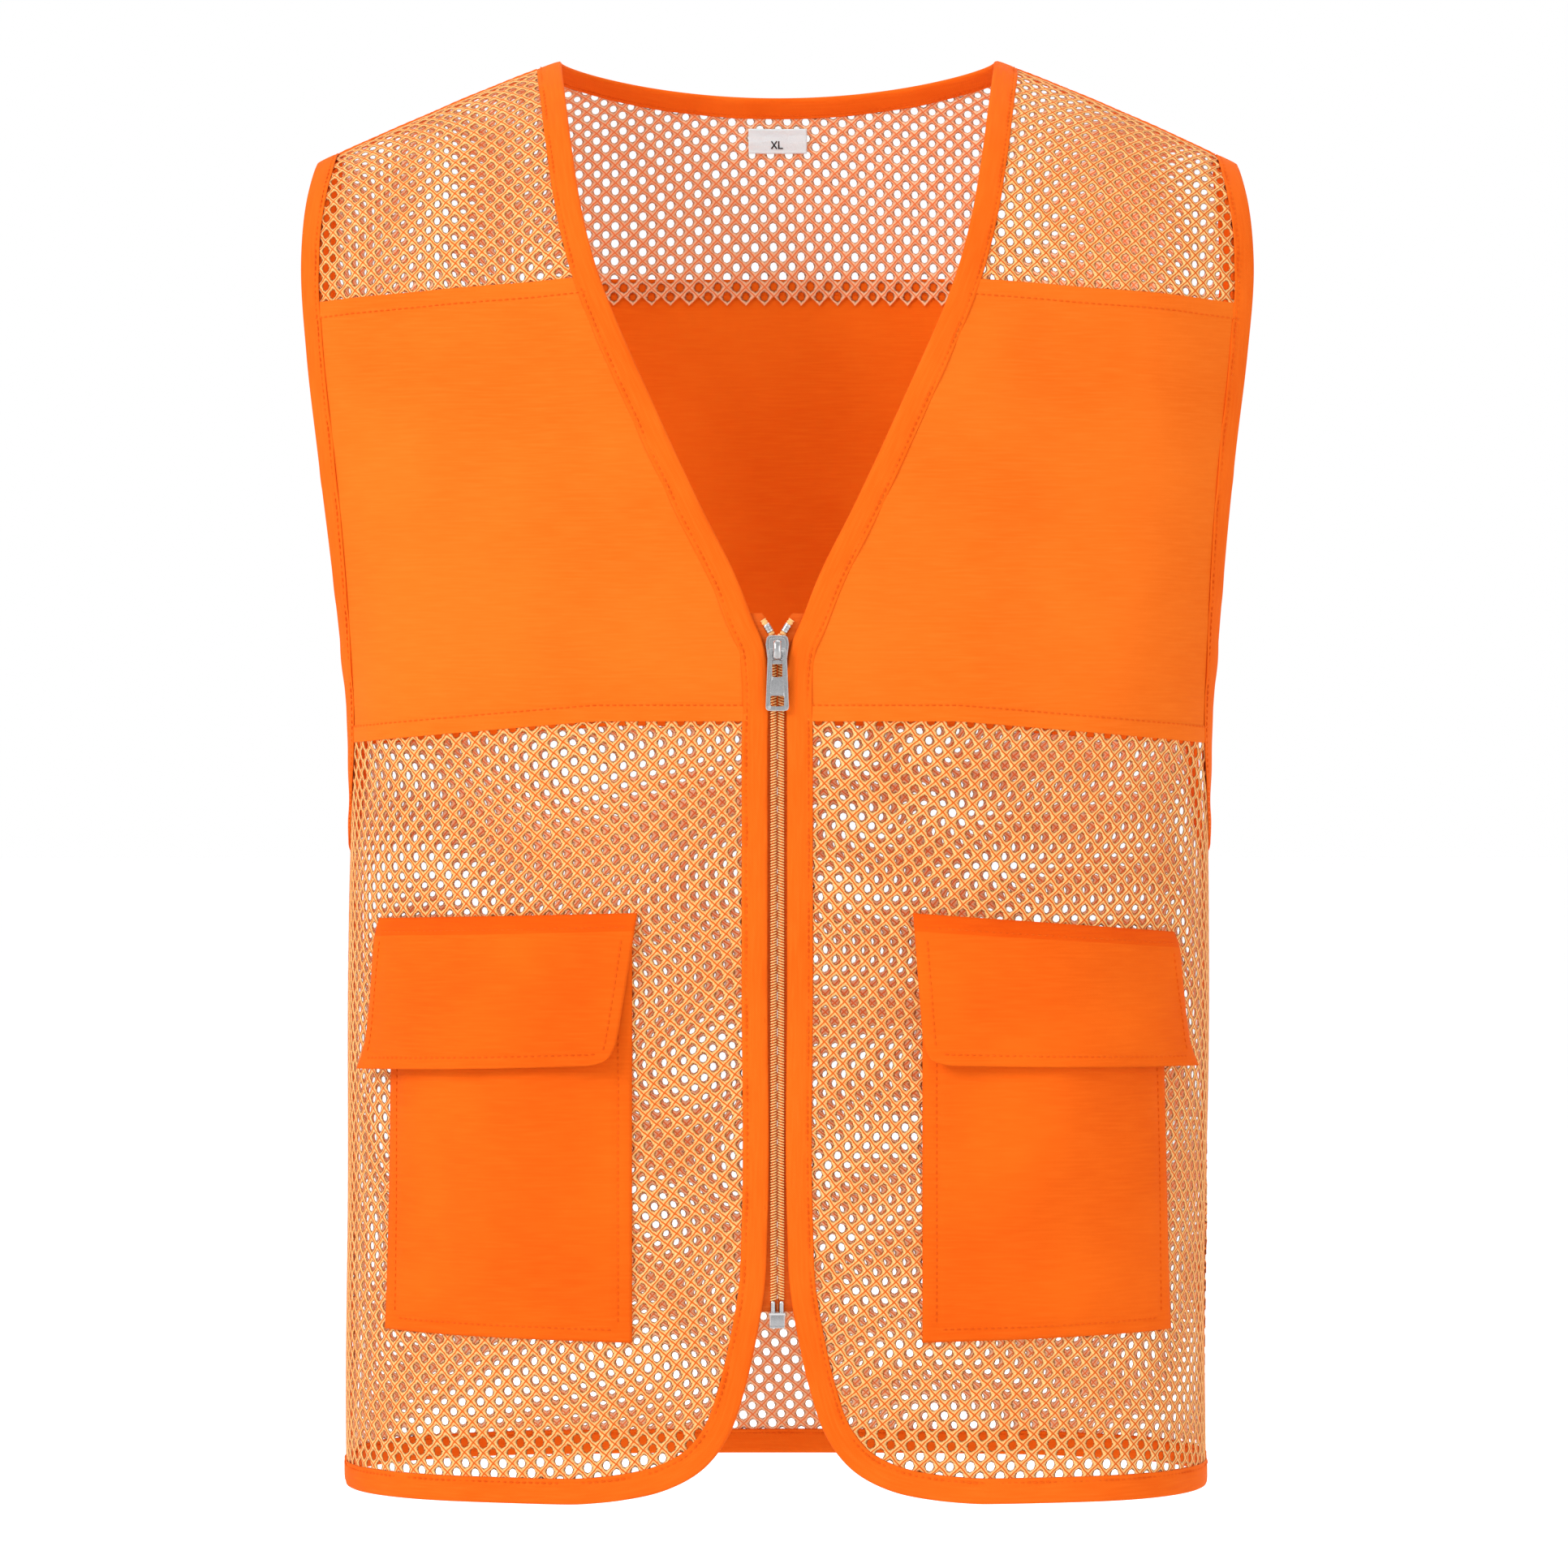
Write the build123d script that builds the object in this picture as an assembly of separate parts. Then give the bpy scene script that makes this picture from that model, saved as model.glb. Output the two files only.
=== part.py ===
"""High-visibility vest: netting body, solid woven chest bands, bound edges, two flap pockets, front zip.

Worn shape, millimetres, +Z up, front faces -Y, +X is the wearer's left. The origin is the middle of the
line between the two high shoulder points, where the vest rests on the wearer or on a hanger.
"""
import os
from math import acos, copysign, cos, pi, sin, sqrt

from build123d import *

os.makedirs("parts", exist_ok=True)

# ---- overall sizes ----
LENGTH = 680.0  # high shoulder point to hem
NECK_HALF = 104.0  # half the neck width at the shoulder seams
SHOULDER_HALF = 221.0  # half the width across the shoulder tips
SHOULDER_DROP = 50.0  # fall of the shoulder seam from neck to tip
SHOULDER_ROUND = 120.0  # how softly the shoulder line bends
NECK_DIP = 10.0  # fall of the back neckline at its middle
# each side of the body: direction along Y, depth, height of the roll over the shoulder, squareness
FRONT = (-1, 127.0, 262.0, 3.2)
BACK = (1, 110.0, 150.0, 2.8)
# half-width of the body section by height, before the armholes are cut out
BODY = [(30, 250), (-110, 246), (-200, 232), (-280, 215), (-335, 206.8), (-368, 205), (-400, 205), (-700, 205)]
# half-width across the armhole edges by height, shoulder tip to underarm
ARMHOLE = [(-50, 221), (-72, 224.6), (-98, 226), (-145, 222), (-192, 215.5), (-237, 210), (-283, 206),
           (-320, 204), (-350, 204.4), (-368, 205)]
UNDERARM = -368.0
# front edge, top to bottom: V neck, zip edge, rounded corner, hem (x, z)
FRONT_EDGE = [(104, 0), (84.3, -106), (57, -171.5), (36, -217), (17.5, -254.6), (11, -272)]
ZIP_EDGE = [(11, -272), (6.2, -282), (4.6, -294), (4.5, -330), (4.5, -440), (4.5, -550), (6, -582), (9.8, -604),
            (14.8, -626), (24.5, -652), (34, -663.5), (52, -673.5), (72, -678), (92, -680)]

# ---- cloth ----
CLOTH = 1.2  # netting and woven panels
TAPE_W, TAPE_T = 12.0, 2.4  # binding folded round every raw edge
SEAM = 0.45  # gap left between two pieces sewn together
BAND_TOP, BAND_TOP_SIDE = -110.0, -121.0  # front band, at the middle and at the armhole
BAND_LOW, BAND_LOW_SIDE = -318.0, -329.5
BACK_BAND_TOP = -96.0
SIDE_GAP = 0.1  # half the gap at the side seam

# ---- neck label ----
LABEL_W, LABEL_TOP, LABEL_LOW, LABEL_T = 29.0, -22.6, -34.0, 0.4

# ---- pockets ----
POCKET_TOP, POCKET_LOW = -419.0, -605.0
POCKET_IN, POCKET_OUT_TOP, POCKET_OUT_LOW = 67.0, 178.0, 183.0
POCKET_MOUTH, POCKET_BULGE = 6.0, 10.0  # how far the pouch stands off at its mouth and its middle
FLAP_TOP, FLAP_LOW = -406.5, -476.5
FLAP_IN_TOP, FLAP_IN_LOW, FLAP_OUT_TOP, FLAP_OUT_LOW = 64.0, 67.0, 184.0, 188.5
CLOSURE_W, CLOSURE_H, CLOSURE_T = 26.0, 18.0, 0.8  # hook and loop patches
CLOSURE_X, CLOSURE_Z = 125.0, -458.0
FLAP_CLEAR = 1.6  # room under the flap for the closure patches
EASE = 0.05  # least gap between two layers of cloth

# ---- zip ----
ZIP_TOP, ZIP_LOW = -277.0, -585.5  # coil chain
ZIP_Y = -126.65  # middle of the coils
GROOVE = 0.7  # half the groove between the two coils
COIL_W, COIL_T = 2.5, 2.1
TAPE_IN, TAPE_OUT, ZIP_TAPE_T = 0.7, 16.0, 0.8
ZIP_TAPE_Y = -125.1
SLIDER_W, SLIDER_H, SLIDER_Z = 10.8, 13.4, -285.0
PULL_LEN, PULL_W_TOP, PULL_W_LOW, PULL_T = 29.0, 8.6, 11.0, 1.5
PIVOT_Y, PIVOT_Z = -131.4, -285.0
PLATE_T = 1.3  # front plate of the slider
BACKING_T = 1.0  # its back plate
BRIDGE_W, BRIDGE_H, BRIDGE_T = 2.0, 9.6, 1.2  # arch that carries the pull tab
STOP_W, STOP_H = 3.0, 3.5
PIN_LOW = -596.9
BOX_W, BOX_D, BOX_TOP, BOX_LOW = 7.4, 5.2, -591.0, -598.0


# ---- body surface ----
def smooth(stations, z):
    """Value at height z on a smooth curve through (height, value) stations listed top first."""
    z = min(max(z, stations[-1][0]), stations[0][0])
    i = next(k for k in range(len(stations) - 1) if z >= stations[k + 1][0])
    pts = [stations[max(i - 1, 0)], stations[i], stations[i + 1], stations[min(i + 2, len(stations) - 1)]]
    (z0, a0), (z1, a1), (z2, a2), (z3, a3) = pts
    t, span = (z - z1) / (z2 - z1), z2 - z1
    m1, m2 = (a2 - a0) / (z2 - z0) * span, (a3 - a1) / (z3 - z1) * span
    return (a1 * (1 + 2 * t) * (1 - t) ** 2 + m1 * t * (1 - t) ** 2
            + a2 * t * t * (3 - 2 * t) + m2 * t * t * (t - 1))


def lerp(a, b, t):
    return a + (b - a) * t


def half_width(z):
    return smooth(BODY, z)


def shoulder(x):
    """Height of the shoulder line at x."""
    rise = SHOULDER_DROP / (sqrt(SHOULDER_HALF**2 + SHOULDER_ROUND**2) - sqrt(NECK_HALF**2 + SHOULDER_ROUND**2))
    return rise * (sqrt(NECK_HALF**2 + SHOULDER_ROUND**2) - sqrt(x * x + SHOULDER_ROUND**2))


def roll(side, x, z):
    """Share of the full depth reached at height z: 0 on the shoulder line, 1 on the chest, negative above."""
    t = (shoulder(x) - z) / side[2]
    return copysign(sqrt(1 - (1 - min(abs(t), 1.0)) ** 2), t)


def arch(side, u):
    """Depth of the section at the share u of its half-width."""
    return max(1 - min(abs(u), 1.0) ** side[3], 0.0) ** (1 / side[3])


def skin(side, x, z):
    """Point of the front or back surface at x and z."""
    return Vector(x, side[0] * side[1] * arch(side, x / half_width(z)) * roll(side, x, z), z)


def normal(side, p, step=0.05):
    """Outward normal of the surface at p."""
    def level(x, y, z):
        return abs(y) / side[1] - arch(side, x / half_width(z)) * roll(side, x, z)
    x, y, z = p.X, p.Y, p.Z
    grad = Vector(level(x + step, y, z) - level(x - step, y, z), level(x, y + step, z) - level(x, y - step, z),
                  level(x, y, z + step) - level(x, y, z - step))
    return grad.normalized()


def spread(points, count):
    """The polyline through points, resampled to count points at even distances."""
    run = [0.0]
    for a, b in zip(points, points[1:]):
        run.append(run[-1] + (b - a).length)
    out, k = [], 0
    for i in range(count):
        want = run[-1] * i / (count - 1)
        while k < len(run) - 2 and run[k + 1] < want:
            k += 1
        t = (want - run[k]) / max(run[k + 1] - run[k], 1e-9)
        out.append(points[k] + (points[k + 1] - points[k]) * min(t, 1.0))
    return out


def row(side, x0, height, y1, count=15, fine=400):
    """Points across the body at height(x), from x0 to where the section has come round to the depth y1."""
    if not callable(height):
        return row(side, x0, lambda x: height, y1, count, fine)
    pts = []
    for i in range(fine + 1):
        u = sin(pi / 2 * i / fine) ** (2 / side[3])
        z = height(half_width(height(x0)) * u)
        x = half_width(z) * u
        y = side[1] * arch(side, u) * roll(side, x, z)
        if x >= x0 and y >= y1:
            pts.append(Vector(x, side[0] * y, z))
    first = skin(side, x0, height(x0))
    last = pts[-1] if y1 > 1 else Vector(half_width(pts[-1].Z), side[0] * y1, pts[-1].Z)
    return spread([first] + pts[1:-1] + [last], count)


# ---- solids from rows of points ----
def plate(rows):
    """Closed solid through rows of (outer, inner) point pairs; rows are joined by ruled faces."""
    outer = [Edge.make_spline([o for o, _ in r]) for r in rows]
    inner = [Edge.make_spline([i for _, i in r]) for r in rows]
    ends = [[Edge.make_line(*r[k]) for r in rows] for k in (0, -1)]
    faces = [Face.make_surface_from_curves(outer[0], inner[0]), Face.make_surface_from_curves(outer[-1], inner[-1])]
    for lines in (outer, inner, *ends):
        faces += [Face.make_surface_from_curves(a, b) for a, b in zip(lines, lines[1:])]
    return Solid(Shell(faces))


def sheet(side, rows, thick=CLOTH, lift=0.0):
    """Cloth of the given thickness along rows of surface points, its middle lifted off the surface."""
    out = []
    for j, r in enumerate(rows):
        line = []
        for i, p in enumerate(r):
            n = normal(side, p)
            d = lift(i / (len(r) - 1), j / (len(rows) - 1)) if callable(lift) else lift
            line.append((p + n * (d + thick / 2), p + n * (d - thick / 2)))
        out.append(line)
    return plate(out)


def ribbon(side_of, curve, into, closed=False):
    """Binding tape folded over an edge: curve is the edge, into the sign of the way into the cloth."""
    edge, inset = [], []
    last = len(curve) - 1
    for i, p in enumerate(curve):
        before = curve[i - 1] if i else (curve[-1] if closed else p)
        after = curve[i + 1] if i < last else (curve[0] if closed else p)
        run = (after - before).normalized()
        q = p
        n = normal(side_of(p), p)
        edge.append((p + n * (TAPE_T / 2), p - n * (TAPE_T / 2)))
        for _ in range(4):
            n = normal(side_of(q), q)
            way = run.cross(n).normalized() * into
            q = q + way * (TAPE_W / 4)
        n = normal(side_of(q), q)
        inset.append((q + n * (TAPE_T / 2), q - n * (TAPE_T / 2), q + way * SEAM))
    if not closed:
        return plate([edge, [s[:2] for s in inset]]), [s[2] for s in inset]
    half = len(curve) // 2
    loops = [edge + edge[:1], [s[:2] for s in inset] + [inset[0][:2]]]
    halves = [plate([r[:half + 1] for r in loops]), plate([r[half:] for r in loops])]
    return halves[0] + halves[1], [s[2] for s in inset]


def trace(points_2d, side, count, fine=200):
    """Points of the surface along a smooth line through (x, z) points."""
    line = Edge.make_spline([(x, 0, z) for x, z in points_2d])
    pts = [line.position_at(i / fine) for i in range(fine + 1)]
    return spread([skin(side, p.X, p.Z) for p in pts], count)


def at_height(line, z, axis):
    """Coordinate of a descending line of points at height z."""
    for a, b in zip(line, line[1:]):
        if min(a.Z, b.Z) <= z <= max(a.Z, b.Z) and a.Z != b.Z:
            return lerp(getattr(a, axis), getattr(b, axis), (z - a.Z) / (b.Z - a.Z))
    return getattr(min(line, key=lambda p: abs(p.Z - z)), axis)


def side_at(p):
    return FRONT if p.Y <= 0 else BACK


def flip(points):
    return [Vector(-p.X, p.Y, p.Z) for p in points]


def save(name, shape):
    export_step(shape, f"parts/{name}.step")


def save_pair(name, left):
    """Write the wearer's left piece and its mirror image."""
    save(f"{name}_left", left)
    save(f"{name}_right", mirror(left, about=Plane.YZ))


# ---- bindings ----
def neck_line():
    """Neck edge from the left V point over the shoulder and round to the middle of the back."""
    front = [skin(FRONT, x, z) for x, z in reversed(neck_front())]
    back = [skin(BACK, x, -NECK_DIP * (1 - (x / NECK_HALF) ** 2))
            for x in (NECK_HALF * (1 - (i / 60) ** 2) for i in range(1, 61))]
    return front + back


def neck_front():
    line = Edge.make_spline([(x, 0, z) for x, z in FRONT_EDGE])
    pts = [line.position_at((i / 120) ** 2) for i in range(121)]
    return [(p.X, p.Z) for p in pts]


def armhole_half(side):
    pts = []
    for i in range(161):
        z = lerp(-SHOULDER_DROP, UNDERARM, (1 - cos(pi * i / 160)) / 2)
        x = min(smooth(ARMHOLE, z), half_width(z))
        y = side[1] * arch(side, x / half_width(z)) * roll(side, x, z)
        pts.append(Vector(x, side[0] * (0 if i in (0, 160) else y), z))
    return pts


half_neck = neck_line()
neck = spread(half_neck + flip(reversed(half_neck[:-1])), 91)
neck_binding, neck_inset = ribbon(side_at, neck, 1)
save("neck_binding", neck_binding)

armhole = spread(armhole_half(FRONT) + armhole_half(BACK)[::-1][1:], 73)[:-1]
arm_binding, arm_inset = ribbon(side_at, armhole, 1, closed=True)
save_pair("armhole_binding", arm_binding)

corner = trace(ZIP_EDGE, FRONT, 70)
hem_front = row(FRONT, 92, -LENGTH, SIDE_GAP, 24)
edge_binding, edge_inset = ribbon(lambda p: FRONT, corner + hem_front[1:], -1)
save_pair("front_edge_binding", edge_binding)

hem_back = row(BACK, 0, -LENGTH, SIDE_GAP, 20)
back_hem, _ = ribbon(lambda p: BACK, flip(reversed(hem_back)) + hem_back[1:], 1)
save("back_hem_binding", back_hem)


# ---- panels ----
neck_in = neck_inset[:46][::-1]  # left side, from the middle of the back to the V point
arm_front, arm_back = arm_inset[:37], [arm_inset[0]] + arm_inset[:35:-1]


def inner_x(z):
    """Where the front cloth starts beside its neck, zip or hem binding at height z."""
    if z > -272:
        return at_height([p for p in neck_in if p.Y <= 0], z, "X")
    return at_height(edge_inset, z, "X")


def outer_y(line, z):
    """Depth at which the cloth ends beside the armhole binding, or at the side seam below it."""
    return max(abs(at_height(line, z, "Y")), SIDE_GAP) if z > line[-1].Z else SIDE_GAP


def yoke_rows(side, inner, outer, low, count=8, across=13):
    """Rows from the shoulder seam down to the line low(x), between two boundary lines of points."""
    rows = []
    for j in range(count):
        t = j / (count - 1)
        line = []
        for i in range(across):
            x = lerp(inner(t), outer(t), i / (across - 1))
            fall = shoulder(x) - low(x)
            z = shoulder(x) - fall * (1 - cos(pi / 2 * t)) / (1 - cos(pi / 2))
            p = skin(side, x, z)
            line.append(Vector(x, side[0] * SIDE_GAP, z) if j == 0 else p)
        rows.append(line)
    return rows


def share(side, line, low):
    """A boundary line as (share of the way down the yoke, x) pairs."""
    out = []
    for p in line:
        top = shoulder(p.X)
        f = max((top - p.Z) / (top - low(p.X)), 0.0)
        if f < 1.4:
            out.append((acos(1 - f) / (pi / 2), p.X))
    return out


def pick(pairs):
    """Function giving x for a share, by straight lines through sorted pairs."""
    pairs = sorted(pairs)

    def value(t):
        t = min(max(t, pairs[0][0]), pairs[-1][0])
        for (a, xa), (b, xb) in zip(pairs, pairs[1:]):
            if a <= t <= b and b > a:
                return lerp(xa, xb, (t - a) / (b - a))
        return pairs[-1][1]
    return value


def slant(mid, side_height, x):
    """Height at x of a line across the front or back, given at the middle and at the armhole."""
    return lerp(mid, side_height, max(abs(x) - 84, 0.0) / (226 - 84))


def front_band_top(x):
    return slant(BAND_TOP, BAND_TOP_SIDE, x)


def band_low(x):
    return slant(BAND_LOW, BAND_LOW_SIDE, x)


def back_band_top(x):
    return slant(BACK_BAND_TOP, BACK_BAND_TOP - 11, x)


yoke = yoke_rows(FRONT, pick(share(FRONT, [p for p in neck_in if p.Y <= 0], front_band_top)),
                 pick(share(FRONT, arm_front[:12], front_band_top)), lambda x: front_band_top(x) + SEAM)
save_pair("front_yoke", sheet(FRONT, yoke))


def band_rows(side, line, top, low, count=9):
    """Rows of a band between the lines top(x) and low(x)."""
    rows = []
    for j in range(count):
        def height(x, t=j / (count - 1)):
            return lerp(top(x), low(x), t)
        x0 = inner_x(height(90)) if side is FRONT else 0.0
        rows.append(row(side, x0, height, outer_y(line, height(212)), 17))
    return rows


def full(rows):
    """Half rows of the back carried across to the other side."""
    return [flip(r[:0:-1]) + r for r in rows]


chest = band_rows(FRONT, arm_front, front_band_top, band_low)
save_pair("chest_panel", sheet(FRONT, chest))

# heights of the rows under the bands: close together at the underarm and at the rounded front corner
underarm_rows = (-342, -354, -362, -368, -373, -376.5, -379, -380, -380.7)
straight_rows = (-440, -500, -560)
corner_rows = (-600, -625, -640, -652, -660, -665)


def lower_rows(side, line, heights):
    """Rows from under the band down to the hem binding."""
    x0 = inner_x(BAND_LOW) if side is FRONT else 0.0
    rows = [row(side, x0, lambda x: band_low(x) - SEAM, outer_y(line, BAND_LOW_SIDE - SEAM), 19)]
    for z in heights + (-LENGTH + TAPE_W + SEAM,):
        rows.append(row(side, inner_x(z) if side is FRONT else 0.0, z, outer_y(line, z), 19))
    return rows


front_low = lower_rows(FRONT, arm_front, underarm_rows + straight_rows + corner_rows)
save_pair("front_lower", sheet(FRONT, front_low))

band = full(band_rows(BACK, arm_back, back_band_top, band_low))
save("back_band", sheet(BACK, band))
back_low = full(lower_rows(BACK, arm_back, underarm_rows + straight_rows))
save("back_lower", sheet(BACK, back_low))


def back_yoke_rows(count=9, across=29):
    """Rows from the neck and shoulder edge down to the back band, right across the back."""
    neck_back = [p for p in neck_inset[:46] if p.Y >= 0]
    outer = pick(share(BACK, arm_back[:12], back_band_top))
    top = [(p.X, p.Z) for p in reversed(neck_back)]
    rows = []
    for j in range(count):
        t = j / (count - 1)
        line = []
        for i in range(across):
            x = outer(t) * i / (across - 1)
            start = shoulder(x) if x > top[-1][0] else pick(top)(x)
            f0 = acos(max(1 - (shoulder(x) - start) / (shoulder(x) - back_band_top(x)), 0)) / (pi / 2)
            z = shoulder(x) - (shoulder(x) - back_band_top(x) - SEAM) * (1 - cos(pi / 2 * lerp(f0, 1, t)))
            p = skin(BACK, x, z)
            line.append(Vector(x, max(p.Y, 0.5), z))
        rows.append(line)
    return rows


back_yoke = sheet(BACK, full(back_yoke_rows()))
save("back_yoke", back_yoke)

# ---- neck label, hanging inside the back neck binding ----
label_rows = [[skin(BACK, LABEL_W * (i / 6 - 0.5), lerp(LABEL_TOP, LABEL_LOW, j / 3)) for i in range(7)]
              for j in range(4)]
save("neck_label", sheet(BACK, label_rows, LABEL_T, -CLOTH / 2 - LABEL_T))

# ---- pockets ----
def patch(x_in, x_out, z_top, z_low, rows=10, across=13):
    """Rows of surface points between two slanting sides, given as (top, bottom) x values."""
    out = []
    for j in range(rows):
        t = j / (rows - 1)
        a, b, z = lerp(*x_in, t), lerp(*x_out, t), lerp(z_top, z_low, t)
        r = row(FRONT, a, z, abs(skin(FRONT, b, z).Y), across)
        out.append(r)
    return out


def pouch(s, t):
    """Stand-off of the pocket cloth: sewn down at the sides and bottom, standing open at the mouth."""
    swell = lerp(POCKET_MOUTH, 0, t) + (POCKET_BULGE - POCKET_MOUTH / 2) * sin(pi * min(t, 1.0)) ** 0.8
    return CLOTH + EASE + swell * sin(pi * s) ** 0.8


def over(s, t):
    """Stand-off of the flap: close at its seam, then over the pocket mouth and the closure patches."""
    z = lerp(FLAP_TOP, FLAP_LOW, t)
    down = min(max((z - POCKET_TOP) / (POCKET_LOW - POCKET_TOP), 0.0), 1.0)
    rise = min(t * (FLAP_TOP - FLAP_LOW) / (FLAP_TOP - POCKET_TOP), 1.0)
    return CLOTH + SEAM + sin(pi / 2 * rise) * (pouch(s, down) + FLAP_CLEAR)


pocket_rows = patch((POCKET_IN, POCKET_IN), (POCKET_OUT_TOP, POCKET_OUT_LOW), POCKET_TOP, POCKET_LOW)
flap_rows = patch((FLAP_IN_TOP, FLAP_IN_LOW), (FLAP_OUT_TOP, FLAP_OUT_LOW), FLAP_TOP, FLAP_LOW)
pocket, flap = sheet(FRONT, pocket_rows, lift=pouch), sheet(FRONT, flap_rows, lift=over)
save_pair("pocket", pocket)
save_pair("pocket_flap", flap)


def length(line):
    return sum((b - a).length for a, b in zip(line, line[1:]))


def closure(lift, x_in, x_out):
    """Rectangle of hook or loop tape at the pocket, lifted by lift(s, z) of a piece from x_in to x_out."""
    z_top, z_low = CLOSURE_Z + CLOSURE_H / 2, CLOSURE_Z - CLOSURE_H / 2
    x_left, x_right = CLOSURE_X - CLOSURE_W / 2, CLOSURE_X + CLOSURE_W / 2
    rows = patch((x_left, x_left), (x_right, x_right), z_top, z_low, 4, 7)
    whole, left, right = [length(row(FRONT, x_in, CLOSURE_Z, abs(skin(FRONT, x, CLOSURE_Z).Y)))
                          for x in (x_out, x_left, x_right)]
    return sheet(FRONT, rows, CLOSURE_T,
                 lambda s, t: lift(lerp(left, right, s) / whole, lerp(z_top, z_low, t)))


def side_x(top, low, z_top, z_low):
    """Where a slanting side stands at the height of the closures."""
    return lerp(top, low, (CLOSURE_Z - z_top) / (z_low - z_top))


def pocket_down(z):
    return (z - POCKET_TOP) / (POCKET_LOW - POCKET_TOP)


def flap_down(z):
    return (z - FLAP_TOP) / (FLAP_LOW - FLAP_TOP)


step_off = CLOTH / 2 + CLOSURE_T / 2 + EASE
pocket_out = side_x(POCKET_OUT_TOP, POCKET_OUT_LOW, POCKET_TOP, POCKET_LOW)
flap_in, flap_out = [side_x(a, b, FLAP_TOP, FLAP_LOW)
                     for a, b in ((FLAP_IN_TOP, FLAP_IN_LOW), (FLAP_OUT_TOP, FLAP_OUT_LOW))]
save_pair("pocket_loop_patch", closure(lambda s, z: pouch(s, pocket_down(z)) + step_off, POCKET_IN, pocket_out))
save_pair("flap_hook_patch", closure(lambda s, z: over(s, flap_down(z)) - step_off, flap_in, flap_out))


# ---- zip ----
def block(x0, x1, y0, y1, z0, z1):
    """Box between two corners."""
    return Pos((x0 + x1) / 2, (y0 + y1) / 2, (z0 + z1) / 2) * Box(abs(x1 - x0), abs(y1 - y0), abs(z1 - z0))


def upright(points, y0, y1, radius=0.0):
    """Solid with an outline in the XZ plane, given as (x, z) points, between two depths."""
    face = make_face(Polyline(*[(x, z) for x, z in points], close=True))
    if radius:
        face = fillet(face.vertices(), radius)
    return extrude(Plane.XZ.offset(-y0) * face, y0 - y1)


coil_front, coil_back = ZIP_Y - COIL_T / 2, ZIP_Y + COIL_T / 2
tape_top, tape_low = ZIP_TOP + 9.0, ZIP_LOW - 5.2
save_pair("zip_tape", block(TAPE_IN, TAPE_OUT, ZIP_TAPE_Y - ZIP_TAPE_T / 2, ZIP_TAPE_Y + ZIP_TAPE_T / 2,
                            tape_top, tape_low))
save_pair("zip_coil", block(GROOVE, GROOVE + COIL_W, coil_front, coil_back, ZIP_TOP, ZIP_LOW))
stop_in, stop_low = GROOVE + 0.2, ZIP_TOP + 0.3
save_pair("zip_top_stop", block(stop_in, stop_in + STOP_W, coil_front - 0.2, coil_back, stop_low, stop_low + STOP_H))
pin_in, pin_out = GROOVE + 0.1, GROOVE + COIL_W
pin = block(pin_in, pin_out, coil_front, coil_back, ZIP_LOW - 0.2, PIN_LOW)
save("zip_insertion_pin", pin)
save("zip_retainer_pin", mirror(pin, about=Plane.YZ))
fit = 0.15  # clearance of the pins in their sockets
socket = block(pin_in - fit, pin_out + fit, coil_front - fit, coil_back + fit, PIN_LOW - fit, BOX_TOP + 1.0)
box = block(-BOX_W / 2, BOX_W / 2, ZIP_Y - BOX_D / 2, ZIP_Y + BOX_D / 2, BOX_LOW, BOX_TOP)
box = fillet(box.edges().filter_by(Axis.Z), 0.8) - socket - mirror(socket, about=Plane.YZ)
save("zip_retainer_box", box)

half, top, low = SLIDER_W / 2, SLIDER_Z + SLIDER_H / 2, SLIDER_Z - SLIDER_H / 2
plate_back = coil_front - 0.9
plate_front, backing_front = plate_back - PLATE_T, coil_back + 1.3
bridge_z = BRIDGE_H / 2
# front plate with rounded corners, narrower at the bottom where the coils leave closed
slider = upright([(-half + 0.6, top), (half - 0.6, top), (half, top - 3.4), (0.78 * half, low),
                  (-0.78 * half, low), (-half, top - 3.4)], plate_front, plate_back, 0.5)
slider += block(-0.74 * half, 0.74 * half, backing_front, backing_front + BACKING_T, top - 0.6, low + 0.6)
# the wedge that parts the coils, and the two flanges that hold them
slider += block(-0.4, 0.4, plate_back - 0.1, backing_front + 0.1, top - 1.2, top - 4.4)
for s in (-1, 1):
    slider += block(s * (pin_out + 0.35), s * (pin_out + 0.9), plate_back - 0.1, ZIP_Y + 0.7, top - 3.0, low + 1.0)
    slider += block(-BRIDGE_W / 2, BRIDGE_W / 2, PIVOT_Y - 1.6, plate_front + 0.1,
                    PIVOT_Z + s * (bridge_z - 1.6), PIVOT_Z + s * bridge_z)
slider += block(-BRIDGE_W / 2, BRIDGE_W / 2, PIVOT_Y - 1.5 - BRIDGE_T, PIVOT_Y - 1.5,
                PIVOT_Z - bridge_z, PIVOT_Z + bridge_z)
save("zip_slider", slider)

# pull tab: a long window round the bridge, a wide one near its free end
pull_top = PIVOT_Z + PULL_T / 2
pull_low = pull_top - PULL_LEN
front, back = PIVOT_Y - PULL_T / 2, PIVOT_Y + PULL_T / 2
tab = upright([(-PULL_W_TOP / 2, pull_top), (PULL_W_TOP / 2, pull_top), (PULL_W_LOW / 2, pull_low),
               (-PULL_W_LOW / 2, pull_low)], front, back, 0.6)
bar = PULL_T / 2
tab -= block(-2.3, 2.3, front - 1, back + 1, PIVOT_Z - bar, PIVOT_Z - 12.6)
tab -= block(-3.1, 3.1, front - 1, back + 1, pull_low + 2.2, pull_low + 7.0)
save("zip_pull_tab", tab)
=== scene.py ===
"""The looks of a high-visibility vest: open netting, woven bands, folded bindings, pockets, zip.

Lengths are in metres: x to the wearer's left, -y to the front, z up from the high shoulder points."""
import math
from collections import namedtuple

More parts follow.
